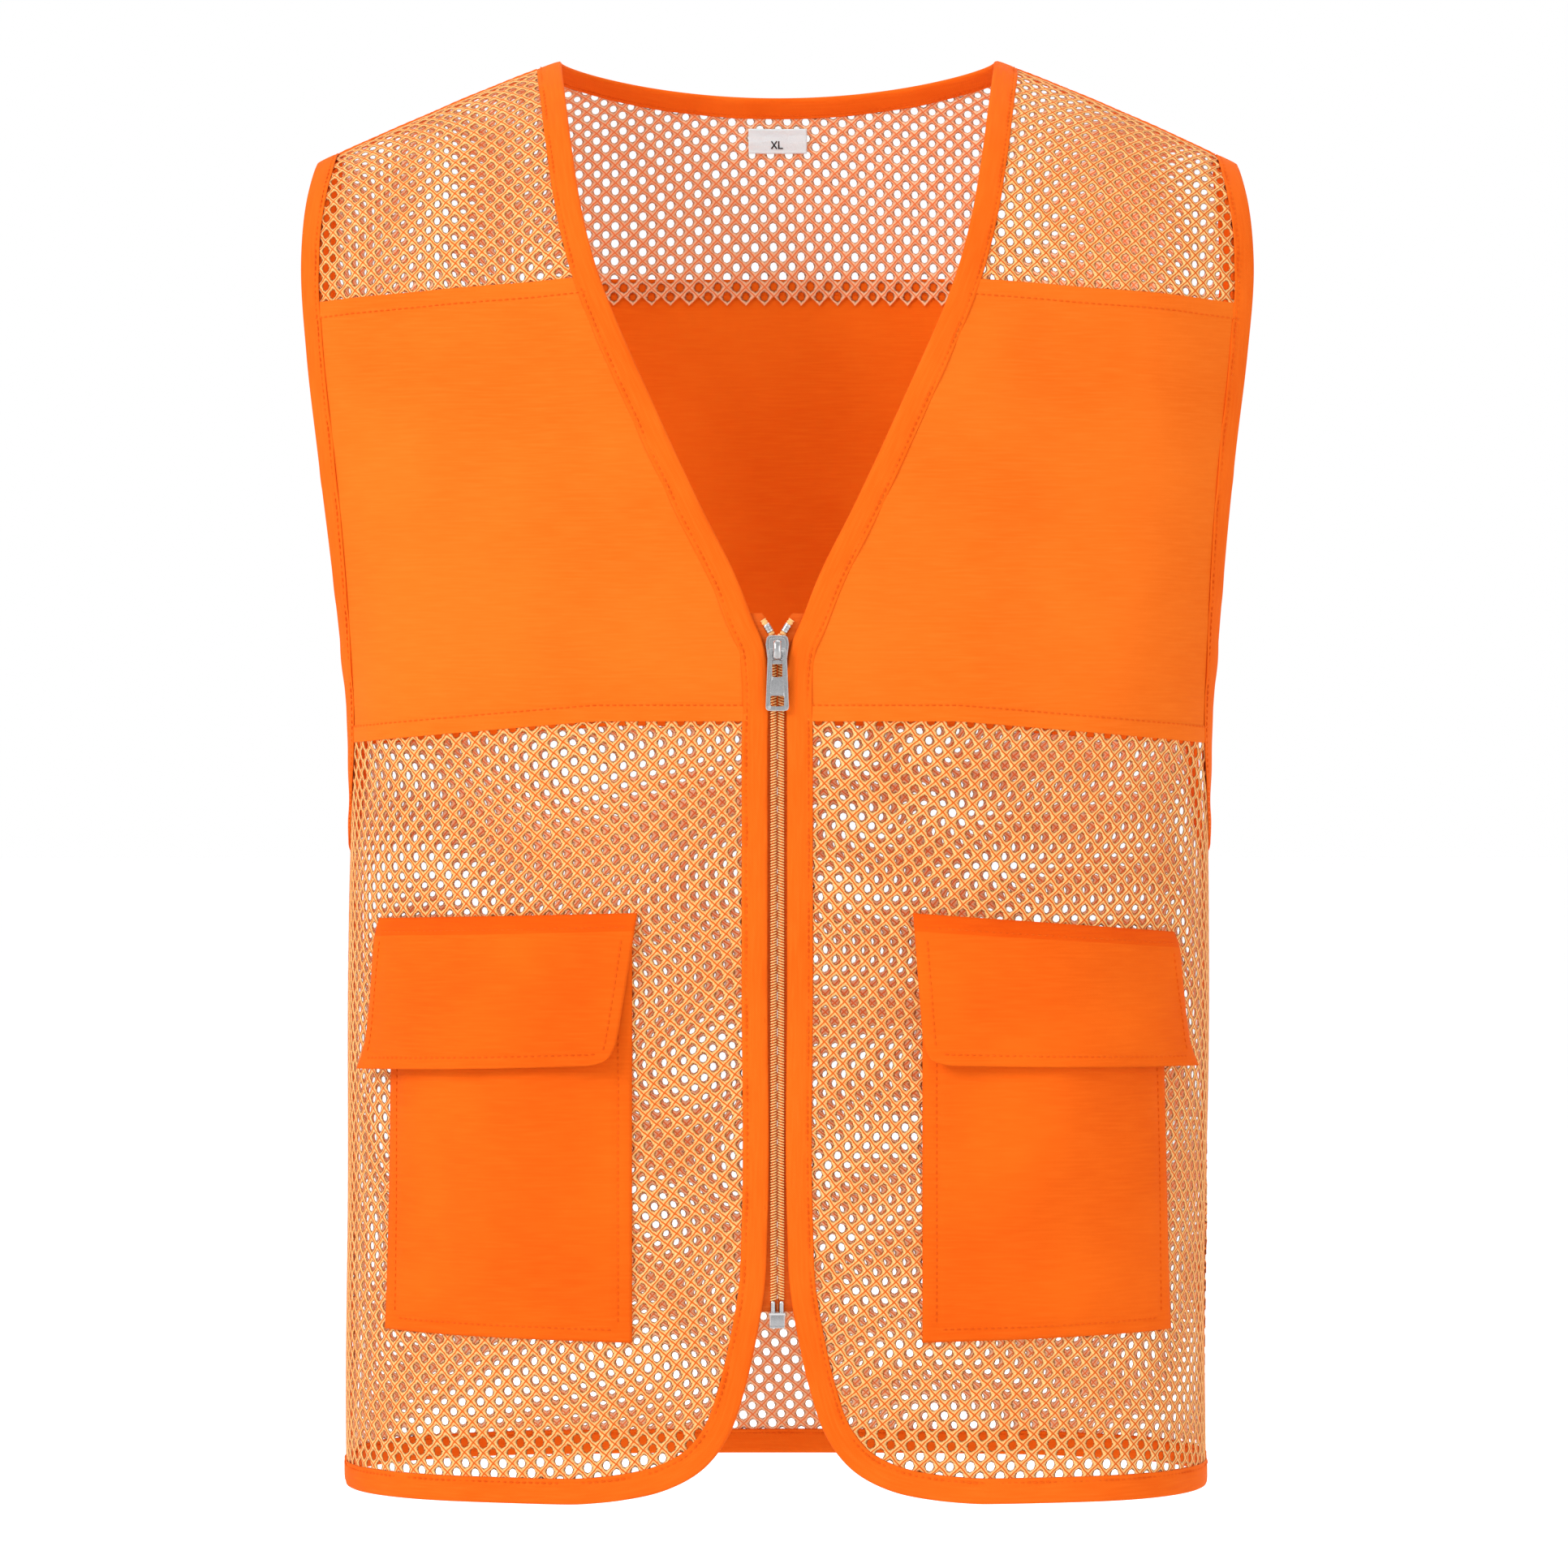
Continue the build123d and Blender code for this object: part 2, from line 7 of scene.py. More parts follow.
import bmesh
import bpy
import numpy as np
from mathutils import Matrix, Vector


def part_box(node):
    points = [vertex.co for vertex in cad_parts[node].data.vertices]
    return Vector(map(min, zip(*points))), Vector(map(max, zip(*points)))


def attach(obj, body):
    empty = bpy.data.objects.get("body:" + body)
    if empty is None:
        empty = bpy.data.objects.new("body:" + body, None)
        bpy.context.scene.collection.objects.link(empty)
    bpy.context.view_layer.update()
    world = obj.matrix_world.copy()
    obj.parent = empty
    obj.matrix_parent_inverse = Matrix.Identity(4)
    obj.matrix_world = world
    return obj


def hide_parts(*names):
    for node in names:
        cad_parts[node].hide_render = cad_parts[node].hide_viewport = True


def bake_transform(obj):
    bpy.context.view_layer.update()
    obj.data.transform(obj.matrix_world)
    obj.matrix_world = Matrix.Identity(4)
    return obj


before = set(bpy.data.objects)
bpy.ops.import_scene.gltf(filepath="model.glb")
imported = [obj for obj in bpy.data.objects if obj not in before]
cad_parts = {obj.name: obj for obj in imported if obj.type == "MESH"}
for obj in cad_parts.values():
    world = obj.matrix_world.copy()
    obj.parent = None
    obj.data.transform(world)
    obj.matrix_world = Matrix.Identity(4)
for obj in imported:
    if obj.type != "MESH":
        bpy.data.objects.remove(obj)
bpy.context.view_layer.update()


def lo(node):
    return np.array(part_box(node)[0])


def hi(node):
    return np.array(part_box(node)[1])


# ---- sizes: those that the frame can give come from it ----
LEFT, RIGHT = 1, -1
CLOTH = 0.0012  # thickness of the woven cloth
HALF = hi("back_lower")[0] - CLOTH / 2
HEM = lo("back_hem_binding")[2]
TAPE_W = hi("back_hem_binding")[2] - HEM
UNDERARM = lo("armhole_binding_left")[2] + TAPE_W
NECK_HALF, NECK_DIP = 0.104, 0.010
SHOULDER_HALF, SHOULDER_DROP, SHOULDER_ROUND = 0.221, 0.050, 0.120
Side = namedtuple("Side", "sign deep fall square")  # fall is how far down the shoulder takes to reach full depth
FRONT = Side(-1, -lo("chest_panel_left")[1] - CLOTH / 2, 0.262, 3.2)
BACK = Side(1, hi("back_lower")[1] - CLOTH / 2, 0.150, 2.8)
# (height, half width) of the body and of the armhole edge; (x, height) of the front edges
BODY = [(0.03, 0.250), (-0.11, 0.246), (-0.2, 0.232), (-0.28, 0.215), (-0.335, HALF + 0.0018), (-0.368, HALF),
        (-0.4, HALF), (-0.7, HALF)]
ARMHOLE = [(-0.05, 0.221), (-0.072, 0.2246), (-0.098, 0.226), (-0.145, 0.222), (-0.192, 0.2155), (-0.237, 0.210),
           (-0.283, 0.206), (-0.32, 0.204), (-0.35, 0.2044), (UNDERARM, HALF)]
FRONT_EDGE = [(0.104, 0), (0.0843, -0.106), (0.057, -0.1715), (0.036, -0.217), (0.0175, -0.2546), (0.011, -0.272)]
ZIP_EDGE = [(0.011, -0.272), (0.0062, -0.282), (0.0046, -0.294), (0.0045, -0.33), (0.0045, -0.44), (0.0045, -0.55),
            (0.006, -0.582), (0.0098, -0.604), (0.0148, -0.626), (0.0245, -0.652), (0.034, -0.6635),
            (0.052, -0.6735), (0.072, -0.678), (0.092, HEM)]
BAND_TOP, BAND_TOP_SIDE = hi("chest_panel_left")[2] - 0.0002, lo("front_yoke_left")[2] - 0.0009
BAND_LOW, BAND_LOW_SIDE = -0.318, -0.3295
BACK_BAND_TOP = -0.096
STRIP = 0.0079  # width of the folded strips along the bands' edges
SEWN = 0.00112  # how far stitches lie from the middle of folded cloth
CELL_U, CELL_V = 0.0090, 0.0047  # distance between the net's holes along a row, and between rows
HOLE_U, HOLE_V = 0.0037, 0.0045  # hole size
STRAND = 0.00055  # half the thickness of the knit


# ---- body surface, in arrays ----
def unit(v):
    return v / np.maximum(np.linalg.norm(v, axis=-1, keepdims=True), 1e-12)


def along(points):
    """Distance along a polyline to each of its points."""
    return np.concatenate([[0], np.cumsum(np.linalg.norm(np.diff(points, axis=0), axis=1))])


def spread(points, count):
    """Points resampled at even distances along their polyline."""
    run = along(points)
    want = np.linspace(0, run[-1], count)
    return np.stack([np.interp(want, run, points[:, k]) for k in range(points.shape[1])], -1)


def hermite(s, v, m, at):
    """Smooth curve with values v and slopes m at places s, at other places."""
    i = np.clip(np.searchsorted(s, at, side="right") - 1, 0, len(s) - 2)
    span = s[i + 1] - s[i]
    t = np.clip((at - s[i]) / span, 0, 1)
    if v.ndim > 1:
        span, t = span[:, None], t[:, None]
    return (v[i] * (1 + 2 * t) * (1 - t) ** 2 + m[i] * span * t * (1 - t) ** 2
            + v[i + 1] * t * t * (3 - 2 * t) + m[i + 1] * span * t * t * (t - 1))


def smooth(stations, z):
    """Smooth curve through (height, value) stations, listed top first, at heights z."""
    h, v = np.array(stations[::-1], float).T
    return hermite(h, v, np.gradient(v, h), z)


def spline(points, count):
    """Smooth curve through 2D points, resampled evenly."""
    p = np.array(points, float)
    s = along(p)
    return spread(hermite(s, p, np.gradient(p, s, axis=0), np.linspace(0, s[-1], 60 * len(points))), count)


def half_width(z):
    return smooth(BODY, z)


def shoulder(x):
    """Height of the shoulder line at x."""
    near, far = np.hypot(NECK_HALF, SHOULDER_ROUND), np.hypot(SHOULDER_HALF, SHOULDER_ROUND)
    return SHOULDER_DROP / (far - near) * (near - np.hypot(x, SHOULDER_ROUND))


def roll(side, x, z):
    """Share of the full depth reached at height z, negative above the shoulder line."""
    t = (shoulder(x) - z) / side.fall
    return np.copysign(np.sqrt(1 - (1 - np.minimum(np.abs(t), 1)) ** 2), t)


def arch(side, u):
    """Share of the full depth at a share u of the half width."""
    return np.maximum(1 - np.minimum(np.abs(u), 1) ** side.square, 0) ** (1 / side.square)


def bulk(side, x, z):
    return arch(side, x / half_width(z)) * roll(side, x, z)


def skin(side, x, z):
    """Surface points at x and z."""
    x, z = np.broadcast_arrays(np.asarray(x, float), np.asarray(z, float))
    return np.stack([x, side.sign * side.deep * bulk(side, x, z), z], -1)


def normals(p, step=5e-5):
    """Outward unit normals of the front or back surface at points p."""
    def gap(axis, move):
        x, y, z = (p[..., k] + (move if k == axis else 0) for k in range(3))
        front, back = (np.abs(y) / side.deep - bulk(side, x, z) for side in (FRONT, BACK))
        return np.where(p[..., 1] <= 0, front, back)
    return unit(np.stack([gap(axis, step) - gap(axis, -step) for axis in range(3)], -1))


def drape(p):
    """Small folds of the hanging cloth, in metres along the normal; none at the zip."""
    x, z = p[..., 0], p[..., 2]
    calm = np.clip((np.abs(x) - 0.02) / 0.05, 0, 1) * np.clip((-z - 0.02) / 0.08, 0, 1)
    side = np.where(p[..., 1] > 0, 1.7, 0.0)
    waves = (0.9 * np.sin(x * 52 + z * 9 + side) + 0.6 * np.sin(x * 97 - z * 14 + 2 * side + 1.3)
             + 0.5 * np.sin(z * 31 + x * 18 + side))
    return 0.0008 * calm * waves


def on_cloth(p, lift=0.0):
    """Body points moved on to the folds of the cloth and lifted off it, and the normals there."""
    n = normals(p)
    return p + n * (drape(p) + lift)[..., None], n


def flip(p):
    return p * np.array([-1, 1, 1])


def mirrored(p, side):
    return flip(p) if side == RIGHT else p


def sided(base, side):
    return f"{base}_{'left' if side == LEFT else 'right'}"


class Wrap:
    """A flat cutting pattern wrapped on the body: u runs round from the middle, v up from the split height."""
    SPLIT, STEP = -0.123, 0.002
    ROUND, UP, BELOW = 0.336, 0.24, 0.012  # how far the tables reach: round, up, and below the hem

    def __init__(self, side):
        self.side = side
        self.u, self.v = np.arange(0, self.ROUND, self.STEP), np.arange(0, self.UP, self.STEP)
        self.z = np.arange(HEM - self.BELOW, self.SPLIT + 1e-9, self.STEP)
        self.z[-1] = self.SPLIT
        share = np.sin(np.linspace(0, math.pi / 2, 700)) ** (2 / side.square)
        low = []
        for z in self.z:
            x = half_width(z) * share
            low.append(self.unroll(x, side.deep * arch(side, share) * roll(side, x, z), self.u))
        self.low_x, self.low_y = np.array(low).transpose(1, 0, 2)
        climb, top = np.sin(np.linspace(0, 1, 300) * math.pi / 2), []
        for x in self.low_x[-1]:
            z = self.SPLIT + (shoulder(x) - self.SPLIT) * climb
            top.append(self.unroll(z, side.deep * bulk(side, x, z), self.v))
        self.top_z, self.top_y = np.array(top).transpose(1, 2, 0)

    @staticmethod
    def unroll(other, y, places):
        """A section's other coordinate and its y at distances along it; past its end, y runs straight on."""
        run = along(np.stack([other, y], -1))
        return np.interp(places, run, other), np.interp(places, run, y) - np.maximum(places - run[-1], 0)

    @staticmethod
    def grid(table, a, b):
        i = np.clip(a.astype(int), 0, table.shape[0] - 2)
        j = np.clip(b.astype(int), 0, table.shape[1] - 2)
        s, t = np.clip(a - i, 0, 1), np.clip(b - j, 0, 1)
        return ((table[i, j] * (1 - t) + table[i, j + 1] * t) * (1 - s)
                + (table[i + 1, j] * (1 - t) + table[i + 1, j + 1] * t) * s)

    def __call__(self, u, v):
        """Body points for pattern places; u may be negative for the wearer's right side."""
        u, v = np.broadcast_arrays(np.asarray(u, float), np.asarray(v, float))
        col, up = np.abs(u) / self.STEP, v / self.STEP
        down = (self.SPLIT + np.minimum(v, 0) - self.z[0]) / self.STEP
        y = np.where(v <= 0, self.grid(self.low_y, down, col), self.grid(self.top_y, up, col))
        z = np.where(v <= 0, self.SPLIT + v, self.grid(self.top_z, up, col))
        return np.stack([self.grid(self.low_x, down, col) * np.where(u < 0, -1.0, 1.0), self.side.sign * y, z], -1)

    @staticmethod
    def row(table, at):
        i, t = int(at), at - int(at)
        return table[i] * (1 - t) + table[i + 1] * t

    def find(self, p):
        """Pattern places of surface points p, on the wearer's left."""
        out = []
        for x, y, z in zip(p[:, 0], np.abs(p[:, 1]), p[:, 2]):
            if z <= self.SPLIT:
                at = np.clip((z - self.z[0]) / self.STEP, 0, len(self.z) - 1.001)
                u = self.nearest(self.row(self.low_x, at) - x, self.row(self.low_y, at) - y, self.u)
                out.append((u, z - self.SPLIT))
            else:
                u = np.interp(x, self.low_x[-1], self.u)
                at = u / self.STEP
                v = self.nearest(self.row(self.top_y.T, at) - y, self.row(self.top_z.T, at) - z, self.v)
                out.append((u, v))
        return np.array(out)

    @staticmethod
    def nearest(dx, dy, s):
        """Place along s where a polyline comes nearest."""
        d = np.hypot(dx, dy)
        i = int(np.clip(np.argmin(d), 1, len(s) - 2))
        a, b = (i - 1, i) if d[i - 1] < d[i + 1] else (i, i + 1)
        ex, ey = dx[b] - dx[a], dy[b] - dy[a]
        t = np.clip(-(dx[a] * ex + dy[a] * ey) / max(ex * ex + ey * ey, 1e-18), 0, 1)
        return s[a] + (s[b] - s[a]) * t


FRONT_WRAP, BACK_WRAP = Wrap(FRONT), Wrap(BACK)


# ---- edge curves of the vest ----
def armhole_half(side, count=160):
    z = -SHOULDER_DROP + (UNDERARM + SHOULDER_DROP) * (1 - np.cos(np.pi * np.arange(count + 1) / count)) / 2
    p = skin(side, np.minimum(smooth(ARMHOLE, z), half_width(z)), z)
    p[[0, -1], 1] = 0
    return p


def neck_line():
    """Neck edge from the left V point over the shoulder to the middle of the back."""
    v = spline(FRONT_EDGE, 400)
    fine = np.interp(np.linspace(0, 1, 160) ** 2, np.linspace(0, 1, 400), np.arange(400))
    x, z = (np.interp(fine, np.arange(400), v[:, k])[::-1] for k in (0, 1))
    back = NECK_HALF * (1 - (np.arange(1, 101) / 100) ** 2)
    return np.concatenate([skin(FRONT, x, z), skin(BACK, back, -NECK_DIP * (1 - (back / NECK_HALF) ** 2))])


def across(wrap, z, x0, count):
    """Points of a level row from x0 round to the side seam."""
    ends = np.concatenate([skin(wrap.side, [x0], [z]), [[half_width(z), 0, z]]])
    return wrap(np.linspace(*wrap.find(ends)[:, 0], count), z - wrap.SPLIT)


def walk(curve, into, widths, closed=False):
    """Points of the cloth at several widths in from an edge curve."""
    run = unit(np.roll(curve, -1, 0) - np.roll(curve, 1, 0) if closed else np.gradient(curve, axis=0))
    q, out, done = curve.copy(), [], 0.0
    for width in widths:
        steps = max(int(math.ceil(abs(width - done) / 0.002)), 1)
        for _ in range(steps):
            q = q + unit(np.cross(run, normals(q))) * into * (width - done) / steps
        done = width
        out.append(q.copy())
    return np.array(out)


half_neck = neck_line()
NECK = spread(np.concatenate([half_neck, flip(half_neck[-2::-1])]), 1100)
ARM = spread(np.concatenate([armhole_half(FRONT), armhole_half(BACK)[-2::-1]]), 560)[:-1]
zip_edge = spline(ZIP_EDGE, 600)
CORNER = spread(np.concatenate([skin(FRONT, *zip_edge.T), across(FRONT_WRAP, HEM, ZIP_EDGE[-1][0], 200)[1:]]), 560)
FRONT_TAPE = spread(np.concatenate([CORNER[::-1], NECK[1:-1], flip(CORNER)]), 2300)
for _ in range(30):
    FRONT_TAPE[1:-1] += (FRONT_TAPE[:-2] + FRONT_TAPE[2:] - 2 * FRONT_TAPE[1:-1]) / 4
half_hem = across(BACK_WRAP, HEM, 0.0, 260)
BACK_HEM = spread(np.concatenate([flip(half_hem[::-1]), half_hem[1:]]), 300)


LEVEL_HALF, SLANT_WIDE = 0.084, 0.142  # the bands run level this far out, and slant over this width beyond


def slanting(mid, side_height):
    """A line across the body as a function of x, given its height at the middle and at the armhole."""
    return lambda x: mid + (side_height - mid) * np.maximum(np.abs(x) - LEVEL_HALF, 0) / SLANT_WIDE


band_top, band_low = slanting(BAND_TOP, BAND_TOP_SIDE), slanting(BAND_LOW, BAND_LOW_SIDE)
back_band_top = slanting(BACK_BAND_TOP, BAND_TOP_SIDE)


def falling(line):
    """x of an edge line by height."""
    order = np.argsort(line[:, 2])
    return lambda z: np.interp(z, line[order, 2], line[order, 0])


# ---- node materials ----
def srgb(r, g, b):
    """Linear colour from 0 to 255 values."""
    line = [c / 255 / 12.92 if c / 255 <= 0.04045 else ((c / 255 + 0.055) / 1.055) ** 2.4 for c in (r, g, b)]
    return (*line, 1.0)


class Finish:
    """A new Principled material, with short ways to add nodes to it."""

    def __init__(self, name, roughness, metallic=0.0, sheen=0.0, specular=0.3):
        self.material = bpy.data.materials.new(name)
        self.material.use_nodes = True
        self.tree = self.material.node_tree
        self.inputs = self.tree.nodes["Principled BSDF"].inputs
        for socket, value in (("Roughness", roughness), ("Metallic", metallic), ("Specular IOR Level", specular),
                              ("Sheen Weight", sheen), ("Sheen Roughness", 0.4)):
            self.inputs[socket].default_value = value

    def node(self, kind, inputs=None, **settings):
        """New shader node with its properties and inputs set; returns its outputs."""
        made = self.tree.nodes.new("ShaderNode" + kind)
        for key, value in settings.items():
            setattr(made, key, value)
        for key, value in (inputs or {}).items():
            self.put(value, made.inputs[key])
        return made.outputs

    def put(self, value, socket):
        """A socket is linked, a number or colour is set."""
        if isinstance(value, bpy.types.NodeSocket):
            self.tree.links.new(value, socket)
        else:
            socket.default_value = value

    def math(self, operation, *values):
        return self.node("Math", dict(enumerate(values)), operation=operation)[0]

    def add(self, a, b):
        return self.math("ADD", a, b)

    def times(self, a, b):
        return self.math("MULTIPLY", a, b)

    def mix(self, factor, a, b):
        return self.node("Mix", {0: factor, 6: a, 7: b}, data_type="RGBA")[2]

    def noise(self, scale, detail, vector):
        return self.node("TexNoise", {"Scale": scale, "Detail": detail, "Vector": vector})["Fac"]

    def stretched(self, vector, scale):
        return self.node("Mapping", {"Vector": vector, "Scale": scale})[0]

    def ramp(self, value, *stops):
        """Float ramp through (position, value) stops."""
        made = self.node("ValToRGB", {0: value})[0]
        bar = made.node.color_ramp
        bar.elements[0].position, bar.elements[1].position = stops[0][0], stops[-1][0]
        for at, _ in stops[1:-1]:
            bar.elements.new(at)
        for element, (_, shade) in zip(bar.elements, stops):
            element.color = (shade, shade, shade, 1)
        return made

    def bump(self, height, distance, strength, chain=None):
        inputs = {"Height": height, "Distance": distance, "Strength": strength}
        if chain is not None:
            inputs["Normal"] = chain
        made = self.node("Bump", inputs)[0]
        self.put(made, self.inputs["Normal"])
        return made

    def show(self, colour, roughness, sheen_tint=None):
        self.put(colour, self.inputs["Base Color"])
        self.put(roughness, self.inputs["Roughness"])
        if sheen_tint:
            self.inputs["Sheen Tint"].default_value = sheen_tint


def woven(name, colour, deep, pale, pitch=0.00055):
    """Plain woven polyester: crossing threads, soft uneven dye, faint creases, fluffy sheen."""
    m = Finish(name, 0.85, sheen=0.05, specular=0.08)
    flat = m.node("UVMap", uv_map="flat")[0]
    coord = m.node("TexCoord")["Object"]
    warp, weft = (m.math("SINE", m.times(way, 2 * math.pi / pitch)) for way in m.node("SeparateXYZ", {0: flat})[:2])
    cross = m.times(warp, weft)
    yarn = m.noise(1.0, 2.0, m.stretched(flat, (60.0, 900.0, 1.0)))
    tone = m.mix(m.ramp(m.noise(14.0, 3.0, coord), (0.35, 0.0), (0.65, 1.0)), srgb(*colour), srgb(*deep))
    threads = m.add(m.times(cross, 0.25), yarn)
    tone = m.mix(m.ramp(threads, (0.35, 0.0), (0.85, 0.5)), tone, srgb(*pale))
    m.show(tone, m.ramp(yarn, (0.3, 0.74), (0.7, 0.92)), srgb(*pale))
    weave = m.bump(cross, 0.00006, 0.6)
    slubs = m.bump(m.add(m.noise(900.0, 2.0, coord), yarn), 0.00012, 0.5, weave)
    m.bump(m.noise(55.0, 4.0, coord), 0.0009, 0.35, slubs)
    return m.material


def knitted(name, colour, deep, pale):
    """Warp-knit net: a paler colour round each hole as a painted highlight on the looped yarn, a deeper colour as
    painted shade at the hole rims and between the loops, fine ply twist.
    """
    m = Finish(name, 0.75, sheen=0.05, specular=0.12)
    angle, reach = m.node("SeparateXYZ", {0: m.node("UVMap", uv_map="knit")[0]})[:2]
    coord = m.node("TexCoord")["Object"]
    bead = m.ramp(reach, (0.0, 0.35), (0.34, 1.0), (0.68, 0.8), (1.0, 0.0))
    ply = m.math("SINE", m.add(m.times(angle, 2 * math.pi * 11), m.times(reach, 7.0)))
    fuzz = m.noise(700.0, 3.0, coord)
    loop = m.add(m.times(bead, 0.75), m.times(ply, 0.14))
    # painted highlight: the paler colour along the raised loop round each hole
    painted_highlight = m.ramp(m.add(loop, m.times(fuzz, 0.3)), (0.35, 0.0), (0.95, 1.0))
    tone = m.mix(painted_highlight, srgb(*colour), srgb(*pale))
    tone = m.mix(m.ramp(m.noise(60.0, 2.0, coord), (0.35, 0.0), (0.75, 0.3)), tone, srgb(*colour))
    # painted shade: the deeper colour at the hole rims and where the loops meet
    tone = m.mix(m.ramp(reach, (0.0, 0.9), (0.2, 0.0), (0.7, 0.0), (0.95, 1.0)), tone, srgb(*deep))
    m.show(tone, m.ramp(fuzz, (0.3, 0.6), (0.7, 0.8)), srgb(*pale))
    m.bump(fuzz, 0.0002, 0.6, m.bump(loop, 0.0004, 0.8))
    return m.material


def metal(name, colour, dark):
    """Tumbled zinc: soft brushed streaks, small darker pits, a painted reflection of dark and light bands by how far
    each face tilts up or down, a little wear on the edges.
    """
    m = Finish(name, 0.34, metallic=1.0, specular=0.5)
    coord, normal = (m.node("TexCoord")[kind] for kind in ("Object", "Normal"))
    streak = m.noise(1.0, 3.0, m.stretched(coord, (2600.0, 2600.0, 260.0)))
    pits = m.noise(1500.0, 3.0, coord)
    height = m.math("MULTIPLY_ADD", m.node("SeparateXYZ", {0: normal})[2], 0.5, 0.5)
    tone = m.mix(m.ramp(pits, (0.3, 0.0), (0.7, 0.5)), srgb(*colour), srgb(*dark))
    # painted reflection: the colour turns nearly black in bands where faces tilt down or a little up, and stays light
    # where they face sideways or well up
    painted_reflection = m.ramp(height, (0.0, 0.9), (0.40, 1.0), (0.49, 0.1), (0.53, 0.2), (0.66, 0.95), (0.85, 0.0), (1.0, 0.2))
    tone = m.mix(painted_reflection, tone, tuple(c * 0.30 for c in srgb(*dark)[:3]) + (1.0,))
    edge = m.ramp(m.node("NewGeometry")["Pointiness"], (0.48, 0.0), (0.56, 0.7))
    m.show(m.mix(edge, tone, (0.94, 0.94, 0.94, 1)), m.ramp(streak, (0.3, 0.14), (0.7, 0.34)))
    m.bump(m.add(streak, pits), 0.00005, 0.4)
    return m.material


def nylon(name, colour, deep, pale):
    """Moulded nylon coil: slightly glossy, uneven dye, fine grain, paler on the crests of its turns as a painted
    highlight.
    """
    m = Finish(name, 0.42, specular=0.5)
    grain = m.noise(1800.0, 2.0, m.node("TexCoord")["Object"])
    tone = m.mix(m.ramp(grain, (0.3, 0.0), (0.7, 1.0)), srgb(*colour), srgb(*deep))
    # painted highlight: the paler colour on the convex crests of the coil's turns
    painted_crest_highlight = m.ramp(m.node("NewGeometry")["Pointiness"], (0.45, 0.0), (0.58, 0.7))
    m.show(m.mix(painted_crest_highlight, tone, srgb(*pale)), m.ramp(grain, (0.3, 0.32), (0.7, 0.5)))
    m.bump(grain, 0.00004, 0.5)
    return m.material


# each: main colour, deeper colour, paler colour
WEAVE = woven("orange_weave", (240, 112, 24), (234, 102, 16), (246, 126, 44))
REVERSE = woven("orange_weave_reverse", (248, 112, 18), (240, 100, 10), (252, 126, 34))
POCKET_CLOTH = woven("pocket_weave", (238, 100, 12), (228, 88, 6), (244, 114, 32), 0.0006)
# darker copy of the pocket weave: painted shade on the flap's folded top strip
FOLD_PAINTED_SHADE = woven("pocket_weave_fold_painted_shade", (234, 90, 6), (224, 78, 2), (240, 102, 22), 0.0006)
BINDING = woven("binding_tape", (240, 102, 16), (232, 92, 8), (246, 120, 38), 0.0009)
# the net's paler colour is a painted highlight and its deeper colour painted shade
NET = knitted("orange_netting", (242, 140, 52), (216, 88, 16), (255, 212, 144))
# paler copy of the net for its inner faces: painted light that offsets the shade inside the vest
NET_PAINTED_LIT_INNER = knitted("orange_netting_painted_lit_inner", (252, 170, 112), (240, 126, 66), (255, 218, 180))
THREAD = woven("stitch_thread", (240, 100, 16), (222, 82, 6), (252, 128, 44), 0.0003)
ZIP_CLOTH = woven("zip_tape", (226, 96, 22), (204, 76, 10), (240, 130, 56), 0.0007)
# the coil's paler colour is a painted highlight on its crests
COIL = nylon("zip_coil", (240, 158, 74), (216, 122, 46), (252, 210, 140))
# the zinc's darker colour also gives the painted reflection bands
ZINC = metal("zip_metal", (142, 143, 148), (72, 72, 78))
SATIN = woven("label_cloth", (228, 250, 255), (214, 238, 246), (240, 254, 255), 0.0004)
HOOKS = woven("hook_and_loop", (240, 108, 26), (212, 84, 12), (250, 144, 70), 0.0012)
INK = woven("label_thread", (40, 40, 42), (24, 24, 26), (90, 90, 92), 0.0003)


def build(name, verts, faces, material, slot, stands_for=(), body="vest", uvs=None, flat=None):
    """A mesh object in place of CAD nodes. It rides on a body, or, where body is a name, start and end, it stays
    where it is on no body. flat gives each vertex its place in the cutting pattern, uvs each face corner its place in
    the knit."""
    mesh = bpy.data.meshes.new(name)
    mesh.from_pydata(np.asarray(verts, float).tolist(), [], faces if isinstance(faces, list) else faces.tolist())
    mesh.polygons.foreach_set("use_smooth", np.ones(len(mesh.polygons), bool))
    loops = np.zeros(len(mesh.loops), np.int32)
    mesh.loops.foreach_get("vertex_index", loops)
    for title, data in (("flat", None if flat is None else np.asarray(flat)[loops]), ("knit", uvs)):
        if data is not None:
            mesh.uv_layers.new(name=title).data.foreach_set("uv", np.asarray(data, np.float32).ravel())
    mesh.materials.append(material)
    mesh.validate()
    obj = bpy.data.objects.new(name, mesh)
    bpy.context.collection.objects.link(obj)
    if isinstance(body, tuple):
        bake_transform(obj)
    else:
        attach(obj, body)
    if stands_for:
        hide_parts(*([stands_for] if isinstance(stands_for, str) else stands_for))
    return obj


def two_finishes(obj, material, runs):
    """Gives runs of faces, as (material index, count), the object's own material or another."""
    obj.data.materials.append(material)
    obj.data.polygons.foreach_set("material_index", np.repeat(*np.array(runs).T).astype(np.int32))


def shell(outer, inner):
    """Vertices of a closed sheet between two grids of points, and its front, back and rim quads."""
    rows, cols = outer.shape[:2]
    count = rows * cols
    front = (np.arange(rows - 1)[:, None] * cols + np.arange(cols - 1)).reshape(-1, 1) + [0, 1, cols + 1, cols]
    rim = np.concatenate([np.arange(cols), np.arange(1, rows) * cols + cols - 1,
                          (rows - 1) * cols + np.arange(cols - 2, -1, -1), np.arange(rows - 2, 0, -1) * cols])
    after = np.roll(rim, -1)
    return (np.concatenate([outer.reshape(-1, 3), inner.reshape(-1, 3)]),
            [front, front[:, ::-1] + count, np.stack([rim, rim + count, after + count, after], -1)])


def cut_from(obj):
    """Gives back the sheet unchanged."""
    return obj


